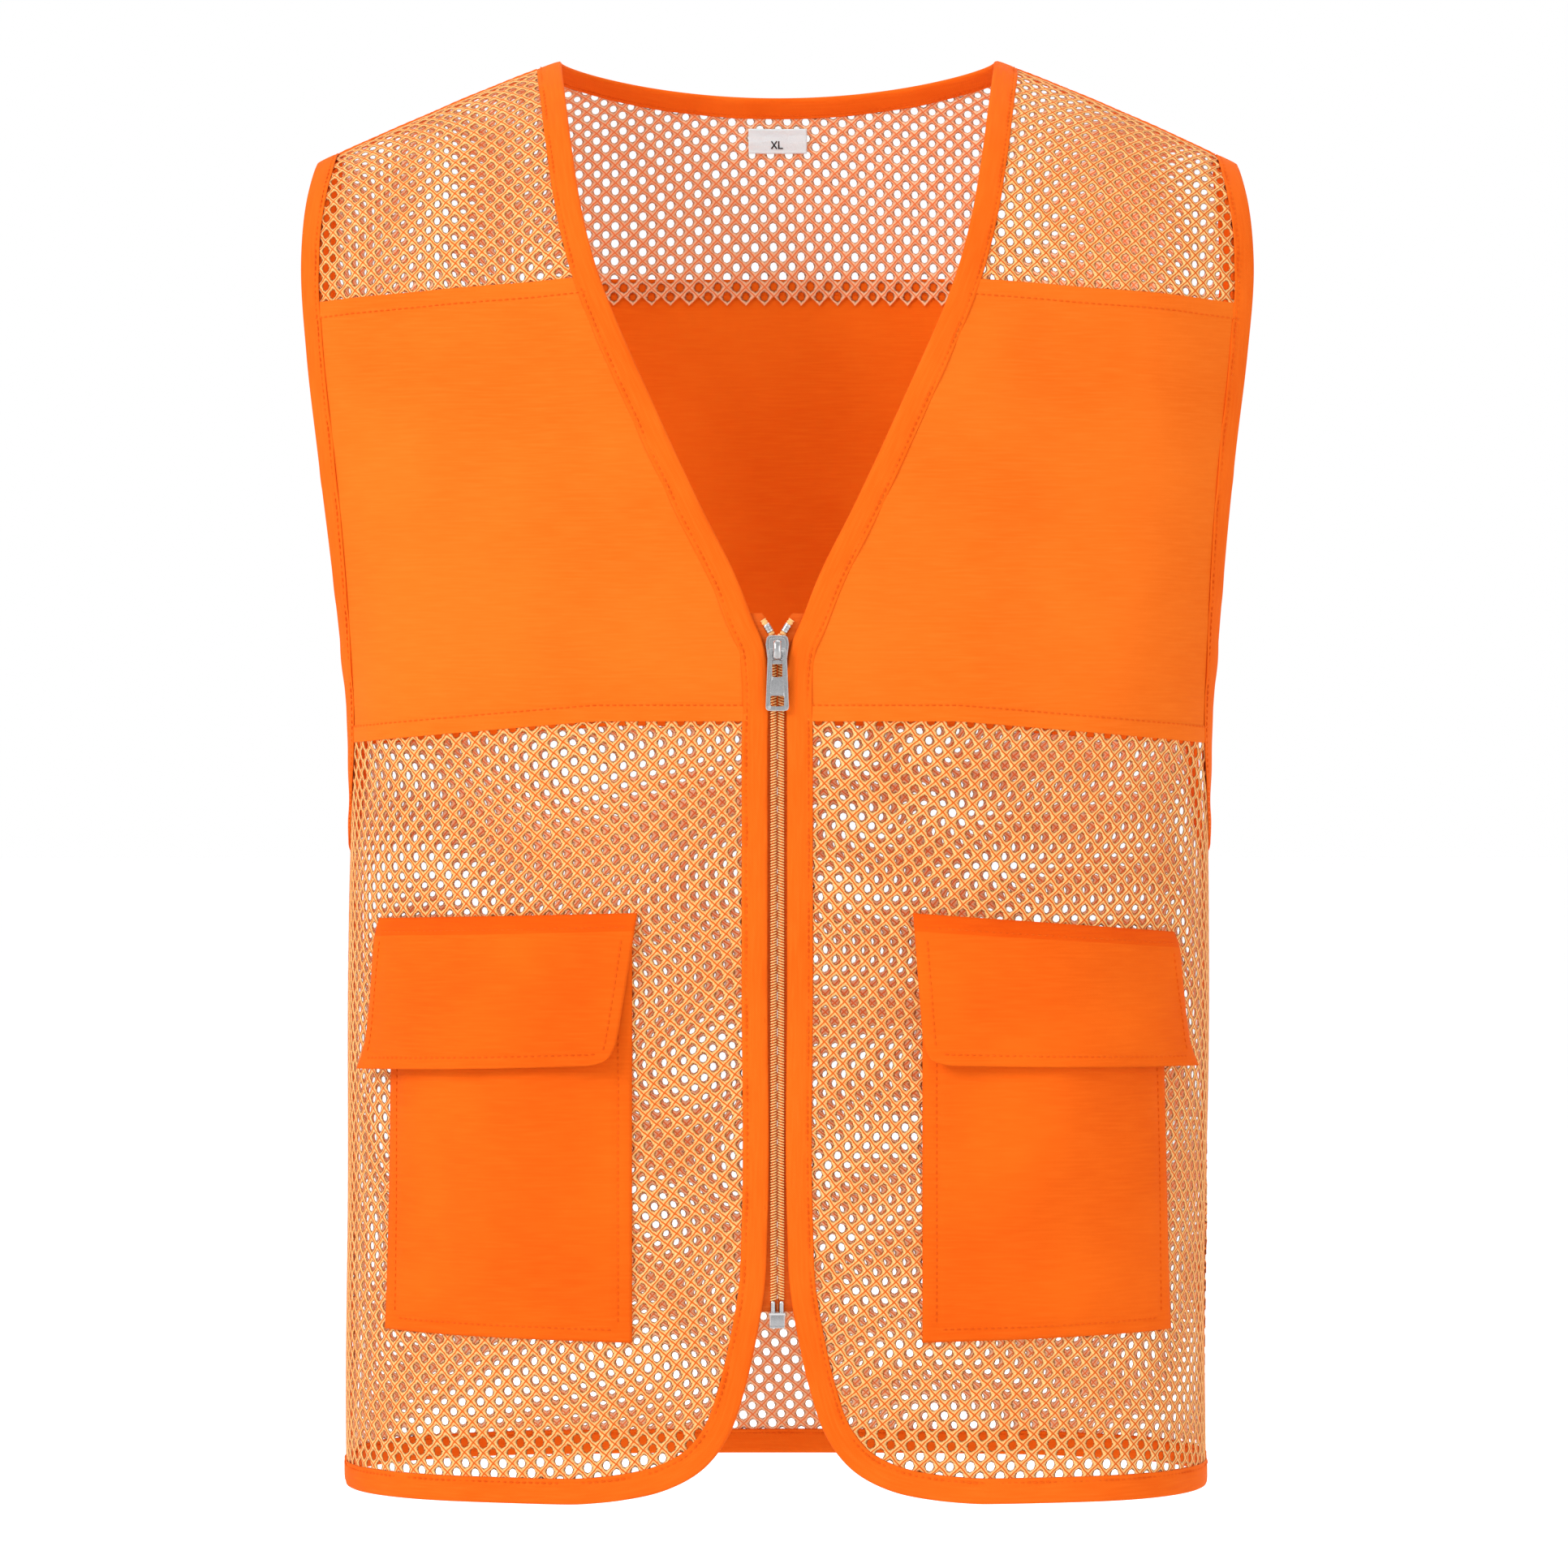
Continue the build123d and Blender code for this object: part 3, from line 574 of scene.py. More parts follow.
def sheet(name, node, p, thick, lift, material, slot, flat, body="vest", ease=0.0):
    """Closed sheet of cloth over a grid of body points; lift and ease raise the whole sheet or its outer face."""
    n = normals(p)
    lift, ease = (np.broadcast_to(x, p.shape[:2]) for x in (lift, ease))
    base = p + n * drape(p)[..., None]
    verts, faces = shell(base + n * (lift + thick / 2 + ease)[..., None], base + n * (lift - thick / 2)[..., None])
    if np.cross(p[0, 1] - p[0, 0], p[1, 0] - p[0, 0]) @ n[0, 0] < 0:
        faces = [f[:, ::-1] for f in faces]
    obj = build(name, verts, np.concatenate(faces), material, slot, node, body,
                flat=np.concatenate([flat.reshape(-1, 2)] * 2))
    if material is WEAVE:
        two_finishes(obj, REVERSE, list(zip((0, 1, 0), map(len, faces))))
    return cut_from(obj)


def rings(centre, a, b, turn, squeeze=1.0):
    """Rings of points round centres, reaching along a at turn 0 and along b a quarter turn on."""
    return (centre[..., None, :] + a[..., None, :] * np.cos(turn)[:, None]
            + b[..., None, :] * (np.sin(turn) * squeeze)[:, None])


def ring_faces(count, sides, closed=False):
    """Quads between a row of rings of vertices."""
    i, j = np.arange(count - (not closed))[:, None], np.arange(sides)[None, :]
    a, b, after = i * sides, ((i + 1) % count) * sides, (j + 1) % sides
    return np.stack([a + j, a + after, b + after, b + j], -1).reshape(-1, 4)


def end_caps(count, sides, way=1):
    """The faces that close the first and the last ring."""
    return [list(range(sides))[::-way], list(range((count - 1) * sides, count * sides))]


def tube(points, radius, sides=6):
    """Vertices and faces of a closed tube round a line of points; radius may differ along it."""
    run = unit(np.gradient(points, axis=0))
    guide = np.where(np.abs(run[:, 1:2]) < 0.8, [[0.0, 1.0, 0.0]], [[1.0, 0.0, 0.0]])
    radius = np.broadcast_to(radius, len(points))[:, None]
    a = unit(np.cross(run, guide))
    turn = np.arange(sides) * 2 * math.pi / sides
    ring = rings(points, a * radius, np.cross(run, a) * radius, turn)
    return ring.reshape(-1, 3), ring_faces(len(points), sides).tolist() + end_caps(len(points), sides)


def gather(parts):
    """Several (vertices, faces) pairs as one."""
    verts, faces, start = [], [], 0
    for v, f in parts:
        verts.append(v)
        faces += [[k + start for k in face] for face in f]
        start += len(v)
    return np.concatenate(verts), faces


def stitches(name, line, n, slot, body="vest", lift=0.0, pitch=0.0031, length=0.0023, radius=0.00027):
    """A row of sewn stitches along a line of surface points, each a short rounded thread sinking at its ends."""
    s = along(line)
    sink = np.array([-0.00030, 0.00004, 0.00012, 0.00004, -0.00030])
    at = np.arange(pitch, s[-1] - pitch, pitch)[:, None] + np.linspace(0, 1, len(sink)) * length
    p, m = (np.stack([np.interp(at, s, v[:, k]) for k in range(3)], -1) for v in (line, n))
    m = unit(m)
    side = np.cross(unit(np.gradient(p, axis=1)), m)
    thick = radius * np.array([0.55, 1, 1, 1, 0.55])[:, None]
    turn = np.arange(6) * math.pi / 3
    ring = rings(p + m * (lift + sink)[:, None], side * thick, m * thick, turn)
    starts = np.arange(len(at))[:, None, None] * len(sink) * len(turn)
    quads = (starts + ring_faces(len(sink), len(turn))).reshape(-1, 4)
    flat = np.stack(np.broadcast_arrays(at[:, :, None], turn * radius), -1).reshape(-1, 2)
    return build(name, ring.reshape(-1, 3), quads, THREAD, slot, body=body, flat=flat)


# ---- bindings and their stitching ----
TAPE_ROW = 0.0099  # how far in its stitches are
TAPE_IN = np.array([12.0, 11.6, 10.9, 10.3, 9.6, 8.0, 5.5, 3.0, 1.2, 0.35, 0.0]) / 1000
TAPE_HIGH = np.array([0.80, 1.12, 1.06, 0.98, 1.10, 1.26, 1.34, 1.32, 1.16, 0.75, 0.0]) / 1000
TAPE_UNDER = ((1, -0.0005), (6, -0.0009), (8, -0.0008), (8, 0.0008), (6, 0.0009), (1, 0.0005))


def binding(name, curve, into, closed, solids):
    """Tape folded round an edge: a flattened U with a rounded fold, puckered along its row of stitches."""
    w, h = TAPE_IN, TAPE_HIGH
    rows = walk(curve, into, w[::-1], closed)[::-1]
    s = along(curve)
    pucker = 0.00010 * np.sin(s * 2 * math.pi / 0.0031) + 0.00016 * np.sin(s * 2 * math.pi / 0.017 + 1.7)
    soft = 0.00022 * np.sin(s * 2 * math.pi / 0.043) + 0.00016 * np.sin(s * 2 * math.pi / 0.0291 + 0.6)
    wave = np.exp(-((w * 1000 - 9.9) / 1.7) ** 2)[:, None] * pucker + (w > 0.0005)[:, None] * soft
    base, n = on_cloth(rows)
    front, back = (base + n * (k * h[:, None] + share * wave)[..., None] for k, share in ((1, 1), (-1, 0.6)))
    under = np.stack([base[k] + n[k] * g for k, g in TAPE_UNDER])
    ring = np.concatenate([front, back[-2::-1], under]).transpose(1, 0, 2)
    count, sides = ring.shape[:2]
    quads = ring_faces(count, sides, closed)[:, ::1 if into > 0 else -1].tolist()
    if not closed:
        quads += end_caps(count, sides, into)
    around = np.concatenate([w, -w[-2::-1], [math.copysign(w[k], g) for k, g in TAPE_UNDER]])
    flat = np.stack(np.broadcast_arrays(s[:, None], around), -1).reshape(-1, 2)
    build(name, ring.reshape(-1, 3), quads, BINDING, "binding_tape", solids, flat=flat)
    if closed:
        curve = np.concatenate([curve, curve[:1]])
    for face, lift in (("out", SEWN), ("in", -SEWN)):
        row = on_cloth(walk(curve, into, [TAPE_ROW])[0])
        stitches(f"{name}_stitches_{face}", *row, "binding_tape", lift=lift)


def make_bindings():
    """One tape round the neck, down both zip edges and along the front hem; the others each on their own edge."""
    binding("front_and_neck_tape", FRONT_TAPE, 1, False,
            ("neck_binding", "front_edge_binding_left", "front_edge_binding_right"))
    binding("back_hem_tape", BACK_HEM, 1, False, "back_hem_binding")
    binding("armhole_tape_left", ARM, 1, True, "armhole_binding_left")
    binding("armhole_tape_right", flip(ARM), -1, True, "armhole_binding_right")


# ---- netting panels ----
def inside(points, polygon):
    """Which 2D points lie in the polygon."""
    x, y = points.T
    hit = np.zeros(len(points), bool)
    for (x0, y0), (x1, y1) in zip(polygon, np.roll(polygon, -1, 0)):
        if y0 != y1:
            hit ^= ((y0 > y) != (y1 > y)) & (x < (x1 - x0) * (y - y0) / (y1 - y0) + x0)
    return hit


def hang(flat, pull):
    """Where the places of an even net end up once the cloth has hung: turned, stretched and a little uneven,
    less so close above its hem."""
    turn, stretch, phase, *hem = pull
    u, v = flat[:, 0], flat[:, 1]
    wave = 0.0016 * np.sin(v * 21 + u * 13 + phase) + 0.0011 * np.sin(v * 11 - u * 29 + 2 * phase)
    sag = 0.0017 * np.sin(u * 24 + phase) + 0.0010 * np.sin(u * 41 + v * 17 + phase)
    if hem:
        sag = sag * np.clip((v - hem[0]) / 0.05, 0, 1)
    return np.stack([stretch * (u + turn * v) + wave, v / stretch - turn * u + sag], -1)


def level(x, z):
    return 0 * x


def netting(name, node, wrap, polygon, pull, cover=level, right=False, hem=None):
    """Knitted net with oval holes over the part of the pattern inside polygon; cover(x, z) is its lift."""
    half = np.array([CELL_U / 2, CELL_V])
    first, last = ((at / half).astype(int) for at in (polygon.min(0) - 0.02, polygon.max(0) + 0.02))
    a, b = np.meshgrid(*(np.arange(first[k] - 2, last[k] + 3) for k in (0, 1)))
    keep = (a + b) % 2 == 0
    cells = np.stack([a[keep], b[keep]], -1)
    cells = cells[inside(hang(cells * half, pull), polygon)]
    corners = np.array([[2, 0], [1, 1], [0, 2], [-1, 1], [-2, 0], [-1, -1], [0, -2], [1, -1]])
    keys, index = np.unique((cells[:, None] * 2 + corners).reshape(-1, 2), axis=0, return_inverse=True)
    index = index.reshape(-1, 8)
    i, j = keys.T
    jitter = np.stack([np.sin(i * 12.9 + j * 78.2), np.sin(i * 39.3 + j * 11.1)], -1) * 0.00016
    shared = keys * half / 2 + jitter
    size = 1 + 0.07 * np.sin(cells[:, 0] * 5.3 + cells[:, 1] * 9.7)
    turn = np.arange(8) * math.pi / 4
    ring = np.stack([np.cos(turn) * HOLE_U / 2, np.sin(turn) * HOLE_V / 2], -1)
    holes = ((cells * half)[:, None] + ring * size[:, None, None]).reshape(-1, 2)
    flat = hang(np.concatenate([holes, shared, shared]), pull)
    if hem is not None:
        flat[:, 1] = np.maximum(flat[:, 1], np.interp(np.abs(flat[:, 0]), hem[:, 0], hem[:, 1]) - 0.0030)
    if right:
        flat = flat * [-1, 1]
    p = wrap(flat[:, 0], flat[:, 1])
    thick = np.where((keys % 2 == 0).all(1), 1.0, 0.85) * STRAND
    verts, _ = on_cloth(p, cover(p[:, 0], p[:, 2]) + np.concatenate([np.zeros(len(holes)), thick, -thick]))
    hole = np.arange(len(holes)).reshape(-1, 8)
    front, back = index + len(holes), index + len(holes) + len(keys)
    after = np.roll(np.arange(8), -1)
    way = -1 if right != (wrap is BACK_WRAP) else 1
    top = np.stack([hole, front, front[:, after], hole[:, after]], -1).reshape(-1, 4)[:, ::way]
    low = np.stack([hole, hole[:, after], back[:, after], back], -1).reshape(-1, 4)[:, ::way]
    step, one = np.arange(8) / 8, np.ones(8)
    knit = np.array([[step, 0 * one], [step, one], [step + 0.125, one], [step + 0.125, 0 * one]]).transpose(2, 0, 1)
    uvs = [np.tile(part[:, ::way], (len(cells), 1, 1)) for part in (knit, knit[:, [0, 3, 2, 1]])]
    obj = build(name, verts, np.concatenate([top, low]), NET, "orange_netting", node,
                uvs=np.concatenate(uvs).reshape(-1, 2), flat=flat)
    # the inner faces take the paler copy of the net, painted light on the shaded inside
    two_finishes(obj, NET_PAINTED_LIT_INNER, [(0, len(top)), (1, len(low))])
    after = np.roll(polygon, -1, 0)


def over_band(x, z):
    """The yoke's net runs down inside the top of the back band."""
    return -0.00135 * np.clip((back_band_top(x) + 0.0035 - z) / 0.003, 0, 1)


def panel_outline(wrap, *curves, whole_width=False):
    """Pattern outline of a panel from its edges; of a whole back panel from those of its left half."""
    half = np.concatenate([wrap.find(p) for p in curves])
    return np.concatenate([half, (half * [-1, 1])[::-1]]) if whole_width else half


def make_netting():
    under_tape, into_band = 0.006, 0.005  # how far the nets go in under the bindings and the bands
    neck, corner_in, hem_in = (walk(curve, way, [under_tape])[0]
                               for curve, way in ((NECK[:len(NECK) // 2 + 1], 1), (CORNER, -1), (half_hem, 1)))
    arm = walk(ARM, 1, [under_tape], True)[0]
    neck_front, neck_back = neck[:-1][neck[:-1, 1] <= 0], neck[neck[:, 1] > 0]
    arm_front, arm_back = arm[arm[:, 1] <= 0], arm[arm[:, 1] > 0][::-1]

    def shoulder_seam(inner, outer, side):
        x = np.linspace(inner[0], outer[0], 60)
        return np.stack([x, 0 * x + side.sign * 1e-6, shoulder(x)], -1)

    seam_z = np.linspace(UNDERARM - 0.006, HEM + 0.006, 60)
    side_seam = np.stack([half_width(seam_z), 0 * seam_z, seam_z], -1)
    top = neck_front[neck_front[:, 2] > BAND_TOP - 0.006]
    edge = arm_front[arm_front[:, 2] > BAND_TOP_SIDE - 0.007]
    x = np.linspace(edge[-1, 0], top[0, 0], 40)
    yoke = panel_outline(FRONT_WRAP, top, shoulder_seam(neck_front[-1], arm_front[0], FRONT), edge,
                         skin(FRONT, x, band_top(x) - into_band))
    inner = corner_in[corner_in[:, 2] < BAND_LOW + 0.005]
    edge = arm_front[arm_front[:, 2] < BAND_LOW_SIDE + 0.006]
    x = np.linspace(inner[0, 0], edge[0, 0], 60)
    lower = panel_outline(FRONT_WRAP, skin(FRONT, x, band_low(x) + into_band), edge, side_seam, inner[::-1])
    for base, shape, turn, phase in (("front_yoke", yoke, 0.05, 0.4), ("front_lower", lower, 0.06, 2.1)):
        for side in (LEFT, RIGHT):
            netting(sided(base + "_net", side), sided(base, side), FRONT_WRAP, shape, (turn, 1.0, phase + side),
                    right=side == RIGHT)
    edge = arm_back[arm_back[:, 2] > BAND_TOP_SIDE - 0.011]
    x = np.linspace(edge[-1, 0], 0, 60)
    low = skin(BACK, x, back_band_top(x) - 0.011)
    hem = BACK_WRAP.find(low)
    bound = falling(walk(ARM, 1, [0.0125], True)[0][arm[:, 1] > 0.002])

    def tucked(x, z):
        """Beside the armhole's binding the net stays inside the band."""
        return over_band(x, z) * np.clip((bound(z) - np.abs(x)) / 0.002, 0, 1)
    shape = panel_outline(BACK_WRAP, neck_back[::-1], shoulder_seam(neck_back[0], arm_back[0], BACK), edge, low,
                          whole_width=True)
    netting("back_yoke_net", "back_yoke", BACK_WRAP, shape, (0.0, 1.0, 0.9, hem[-1, 1]), tucked, hem=hem[::-1])
    edge = arm_back[arm_back[:, 2] < BAND_LOW_SIDE + 0.006]
    x = np.linspace(0, edge[0, 0], 60)
    shape = panel_outline(BACK_WRAP, skin(BACK, x, band_low(x) + into_band), edge, side_seam, hem_in[::-1],
                          whole_width=True)
    netting("back_lower_net", "back_lower", BACK_WRAP, shape, (-0.05, 1.05, 1.7))


# ---- woven panels ----
def fold_steps(total):
    """Shares of a panel's height, close together where the folded strips along its two edges end."""
    near = np.array([0, 0.0005, 0.0015, 0.004, 0.0065, STRIP - 0.0004, STRIP, STRIP + 0.0004, STRIP + 0.0015])
    middle = np.linspace(near[-1], total - near[-1], max(int(total / 0.004), 8))[1:-1]
    return np.concatenate([near, middle, total - near[::-1]]) / total


def ridge(total, steps, rise=0.00042):
    """Extra thickness of the folded strips along a panel's top and bottom edges."""
    d = np.minimum(steps, 1 - steps) * total
    return (rise * np.clip((STRIP + 0.0003 - d) / 0.0006, 0, 1))[:, None]


def panel(side, inner, outer, top, low, steps, cols=56):
    """Grid of body points between two side lines x(z) and two slanting lines z(x), and its flat places."""
    s, t = np.linspace(0, 1, cols)[None, :], steps[:, None]
    x = np.full((len(steps), cols), 0.1)
    for _ in range(12):
        z = top(x) + (low(x) - top(x)) * t
        x = inner(z) * (1 - s) + outer(z) * s
    p = skin(side, x, z)
    run = np.concatenate([np.zeros((len(steps), 1)), np.cumsum(np.linalg.norm(np.diff(p, axis=1), axis=2), 1)], 1)
    return p, np.stack([run + x[:, :1], z], -1)


def make_bands():
    inset = 0.005  # how far the bands go in under the bindings
    neck_in, corner_in = walk(NECK, 1, [inset])[0], walk(CORNER, -1, [inset])[0]
    arm_in = walk(ARM, 1, [inset], True)[0]
    half = len(NECK) // 2
    front = neck_in[:half][neck_in[:half, 1] < -0.02]
    inner = falling(np.concatenate([front[front[:, 2] > corner_in[0, 2] + 0.002], corner_in[corner_in[:, 2] > -0.4]]))
    arm_front, arm_back = falling(arm_in[arm_in[:, 1] < -0.002]), falling(arm_in[arm_in[:, 1] > 0.002])
    ends = (("top", 5), ("low", -6))  # rows of the grids that the stitches follow
    steps = fold_steps(BAND_TOP - BAND_LOW)
    p, flat = panel(FRONT, inner, arm_front, band_top, band_low, steps)
    for side in (LEFT, RIGHT):
        q = mirrored(p, side)
        sheet(sided("chest_band", side), sided("chest_panel", side), q, CLOTH, 0.0, WEAVE, "orange_weave",
              flat * [side, 1], ease=ridge(BAND_TOP - BAND_LOW, steps))
        for title, row in ends:
            stitches(sided(f"chest_band_{title}_stitches", side), *on_cloth(q[row]), "orange_weave", lift=SEWN)
    steps = fold_steps(BACK_BAND_TOP - BAND_LOW)
    p, flat = panel(BACK, lambda z: 0 * z, arm_back, back_band_top, band_low, steps)
    p = np.concatenate([flip(p[:, :0:-1]), p], 1)
    flat = np.concatenate([flat[:, :0:-1] * [-1, 1], flat], 1)
    sheet("back_band_cloth", "back_band", p, CLOTH, 0.0, WEAVE, "orange_weave", flat,
          ease=ridge(BACK_BAND_TOP - BAND_LOW, steps))
    for title, row in ends:
        for face, lift in (("", SEWN), ("_inside", -0.00066)):
            stitches(f"back_band_{title}_stitches{face}", *on_cloth(p[row]), "orange_weave", lift=lift)


# ---- seams ----
def seam_strip(name, line, width, height):
    """Rolled seam along a line of body points."""
    base, n = on_cloth(line)
    side = unit(np.cross(unit(np.gradient(line, axis=0)), n))
    s, turn = along(line), np.arange(12) * math.pi / 6
    uneven = 1 + 0.06 * np.sin(s * 2 * math.pi / 0.0047) + 0.05 * np.sin(s * 2 * math.pi / 0.031)
    dent = 1 - 0.28 * np.exp(-(np.cos(turn) / 0.25) ** 2)
    ring = rings(base, side * width / 2, n * (height * uneven)[:, None], turn, dent)
    flat = np.stack(np.broadcast_arrays(s[:, None], turn * width / 4), -1).reshape(-1, 2)
    build(name, ring.reshape(-1, 3), ring_faces(len(line), 12), BINDING, "orange_netting", flat=flat)


def make_seams():
    x = np.linspace(NECK_HALF + 0.011, SHOULDER_HALF - 0.011, 120)
    z = np.linspace(UNDERARM - 0.0125, HEM + 0.0015, 400)
    seams = (("shoulder_seam", np.stack([x, 0 * x, shoulder(x)], -1), 0.0040, 0.0016),
             ("side_seam", np.stack([half_width(z), 0 * z, z], -1), 0.0036, 0.0014))
    for side in (LEFT, RIGHT):
        for base, line, width, height in seams:
            at = mirrored(line, side)
            seam_strip(sided(base, side), at, width, height)
            stitches(sided(base + "_stitches", side), *on_cloth(at), "orange_netting", lift=height * 0.72,
                     pitch=0.0027, length=0.0020)


# ---- pockets and flaps ----
POCKET_TOP, POCKET_LOW = hi("pocket_left")[2], lo("pocket_left")[2]
FLAP_TOP, FLAP_LOW = hi("pocket_flap_left")[2], lo("pocket_flap_left")[2]
POCKET_TALL, FLAP_TALL = POCKET_TOP - POCKET_LOW, FLAP_TOP - FLAP_LOW
POCKET_WIDE, FLAP_WIDE = 0.113, 0.127
POCKET_MOUTH, POCKET_BULGE = 0.006, 0.010
# a patch: x of its inner and outer side, each at top and bottom, its top and bottom, and how far its top and
# bottom edges rise from inside to outside
POCKET = ((0.067, 0.067), (0.178, 0.183)), POCKET_TOP, POCKET_LOW, (0, 0.0035)
FLAP = {LEFT: (((0.0625, 0.0675), (0.184, 0.1885)), FLAP_TOP, FLAP_LOW, (-0.0095, -0.0020)),
        RIGHT: (((0.0645, 0.0750), (0.184, 0.1885)), FLAP_TOP, FLAP_LOW, (-0.0030, -0.0035))}


def side_places(sides, z_top, z_low, t):
    """Flat places of a patch's two sides at shares t of its height."""
    z = z_top + (z_low - z_top) * t
    return [FRONT_WRAP.find(skin(FRONT, a + (b - a) * t, z))[:, 0] for a, b in sides]


def patch(sides, z_top, z_low, tilt, rows, cols, corner=0.0):
    """Grid of body points between two slanting sides, evenly spaced round the body, and its flat places; corner
    rounds the inner bottom one."""
    t, s = np.linspace(0, 1, rows)[:, None], np.linspace(0, 1, cols)[None, :]
    inner, outer = (end[:, None] for end in side_places(sides, z_top, z_low, t[:, 0]))
    up, out = (1 - t) * (z_top - z_low), s * 0.12

    def fade(distance, reach):
        return np.clip(1 - distance / (reach * corner + 1e-9), 0, 1) ** 2
    u = inner * (1 - s) + outer * s + 0.42 * corner * fade(up, 2) * fade(out, 3)
    z = (z_top + tilt[0] * s) * (1 - t) + (z_low + tilt[1] * s) * t + 0.42 * corner * fade(out, 2) * fade(up, 3)
    return FRONT_WRAP(u, z - FRONT_WRAP.SPLIT), np.stack([u, z], -1)


def shares(rows, cols):
    """Shares s across and t down a patch for its grid of points."""
    return np.meshgrid(np.linspace(0, 1, cols), np.linspace(0, 1, rows))


def place(flat, sides, z_top, z_low, tilt):
    """Shares s, t of a patch at flat places."""
    u, z = flat[..., 0], flat[..., 1]
    rows = np.linspace(0, 1, 40)
    ends = side_places(sides, z_top, z_low, rows)
    t = (z - z_top) / (z_low - z_top)
    for _ in range(4):
        u0, u1 = (np.interp(t, rows, end) for end in ends)
        s = (u - u0) / (u1 - u0)
        t = (z - z_top - tilt[0] * s) / (z_low - z_top + (tilt[1] - tilt[0]) * s)
    return s, t


def soft(s, t, seed, size):
    """Gentle creases of a patch of cloth, dying out at its sewn edges."""
    rng = np.random.default_rng(seed)
    total = 0 * s
    for k in range(9):
        a, b, c, d = rng.uniform(1.0, 5.5), rng.uniform(0.8, 5.0), rng.uniform(0, 6.3), rng.uniform(-1, 1)
        total = total + np.sin(a * 2 * s + b * 2 * t * np.sign(d) + c) / (1 + 0.35 * k)
    return size * total * np.sin(np.pi * np.clip(s, 0, 1)) ** 0.6


def border(s, t, width, height):
    """Distance of a place on a patch of the given size from its sides or bottom."""
    return np.minimum(np.minimum(s, 1 - s) * width, (1 - t) * height)


def pouch(s, t):
    """Height of a pocket's cloth without its creases."""
    swell = POCKET_MOUTH * (1 - t) + (POCKET_BULGE - POCKET_MOUTH / 2) * np.sin(np.pi * np.clip(t, 0, 1)) ** 0.8
    return CLOTH + 0.00005 + swell * np.sin(np.pi * np.clip(s, 0, 1)) ** 0.8


def groove(distance, at, deep):
    """Dent along a row of stitches."""
    return -deep * np.exp(-((distance - at) / 0.0009) ** 2)


def rising(x, start, length, power):
    return np.clip((x - start) / length, 0, 1) ** power


def pocket_lift(side, s, t):
    """Height of a pocket's cloth over the vest: its bulge and its creases."""
    edge = border(s, t, POCKET_WIDE, POCKET_TALL)
    return pouch(s, t) + soft(s, t, 11 + side, 0.00085) * np.clip(edge / 0.012, 0, 1) + groove(edge, 0.0058, 0.0007)


def flap_lift(side, s, t):
    """Height of a flap's cloth over the vest: over the pocket, with its lower corners and edge standing off."""
    down = np.clip((FLAP_TOP - FLAP_TALL * t - POCKET_TOP) / -POCKET_TALL, 0, 1)
    rise = np.minimum(t * FLAP_TALL / (FLAP_TOP - POCKET_TOP), 1)
    over = CLOTH + 0.00045 + np.sin(np.pi / 2 * rise) * (pouch(s, down) + 0.0016)
    curl = (0.0052 * rising(-s, -0.30, 0.30, 2) * rising(t, 0.25, 0.75, 1.5)
            + 0.0026 * rising(s, 0.8, 0.2, 2) * rising(t, 0.4, 0.6, 2) + 0.0026 * rising(t, 0.78, 0.22, 1.6))
    creases = soft(s, t, 31 + side, 0.00048) * np.clip(t / 0.3, 0, 1)
    return over + curl + creases + groove(t * FLAP_TALL, 0.0064, 0.0004)


def patch_line(p, lift, s, t):
    """Points on a lifted patch at shares s, t, and the normals there."""
    rows, cols = p.shape[:2]
    i, j = t * (rows - 1), s * (cols - 1)
    i0, j0 = np.clip(i.astype(int), 0, rows - 2), np.clip(j.astype(int), 0, cols - 2)
    a, b = (i - i0)[:, None], (j - j0)[:, None]

    def pick(v):
        return ((v[i0, j0] * (1 - b) + v[i0, j0 + 1] * b) * (1 - a)
                + (v[i0 + 1, j0] * (1 - b) + v[i0 + 1, j0 + 1] * b) * a)
    q, n = on_cloth(p, lift)
    return pick(q), unit(pick(n))


def sew(base, side, p, lift, inner, top, low, upright, level_count, body="vest", rows=()):
    """Rows of stitches down the sides and along the bottom of a patch, after any others."""
    down, over = np.linspace(top, low, upright), np.linspace(inner, 1 - inner, level_count)
    rows = [*rows, ("inner", 0 * down + inner, down), ("low", over, 0 * over + low),
            ("outer", 0 * down + 1 - inner, down[::-1])]
    for title, s, t in rows:
        stitches(sided(f"{base}_{title}_stitches", side), *patch_line(p, lift, s, t), "pocket_weave", body)


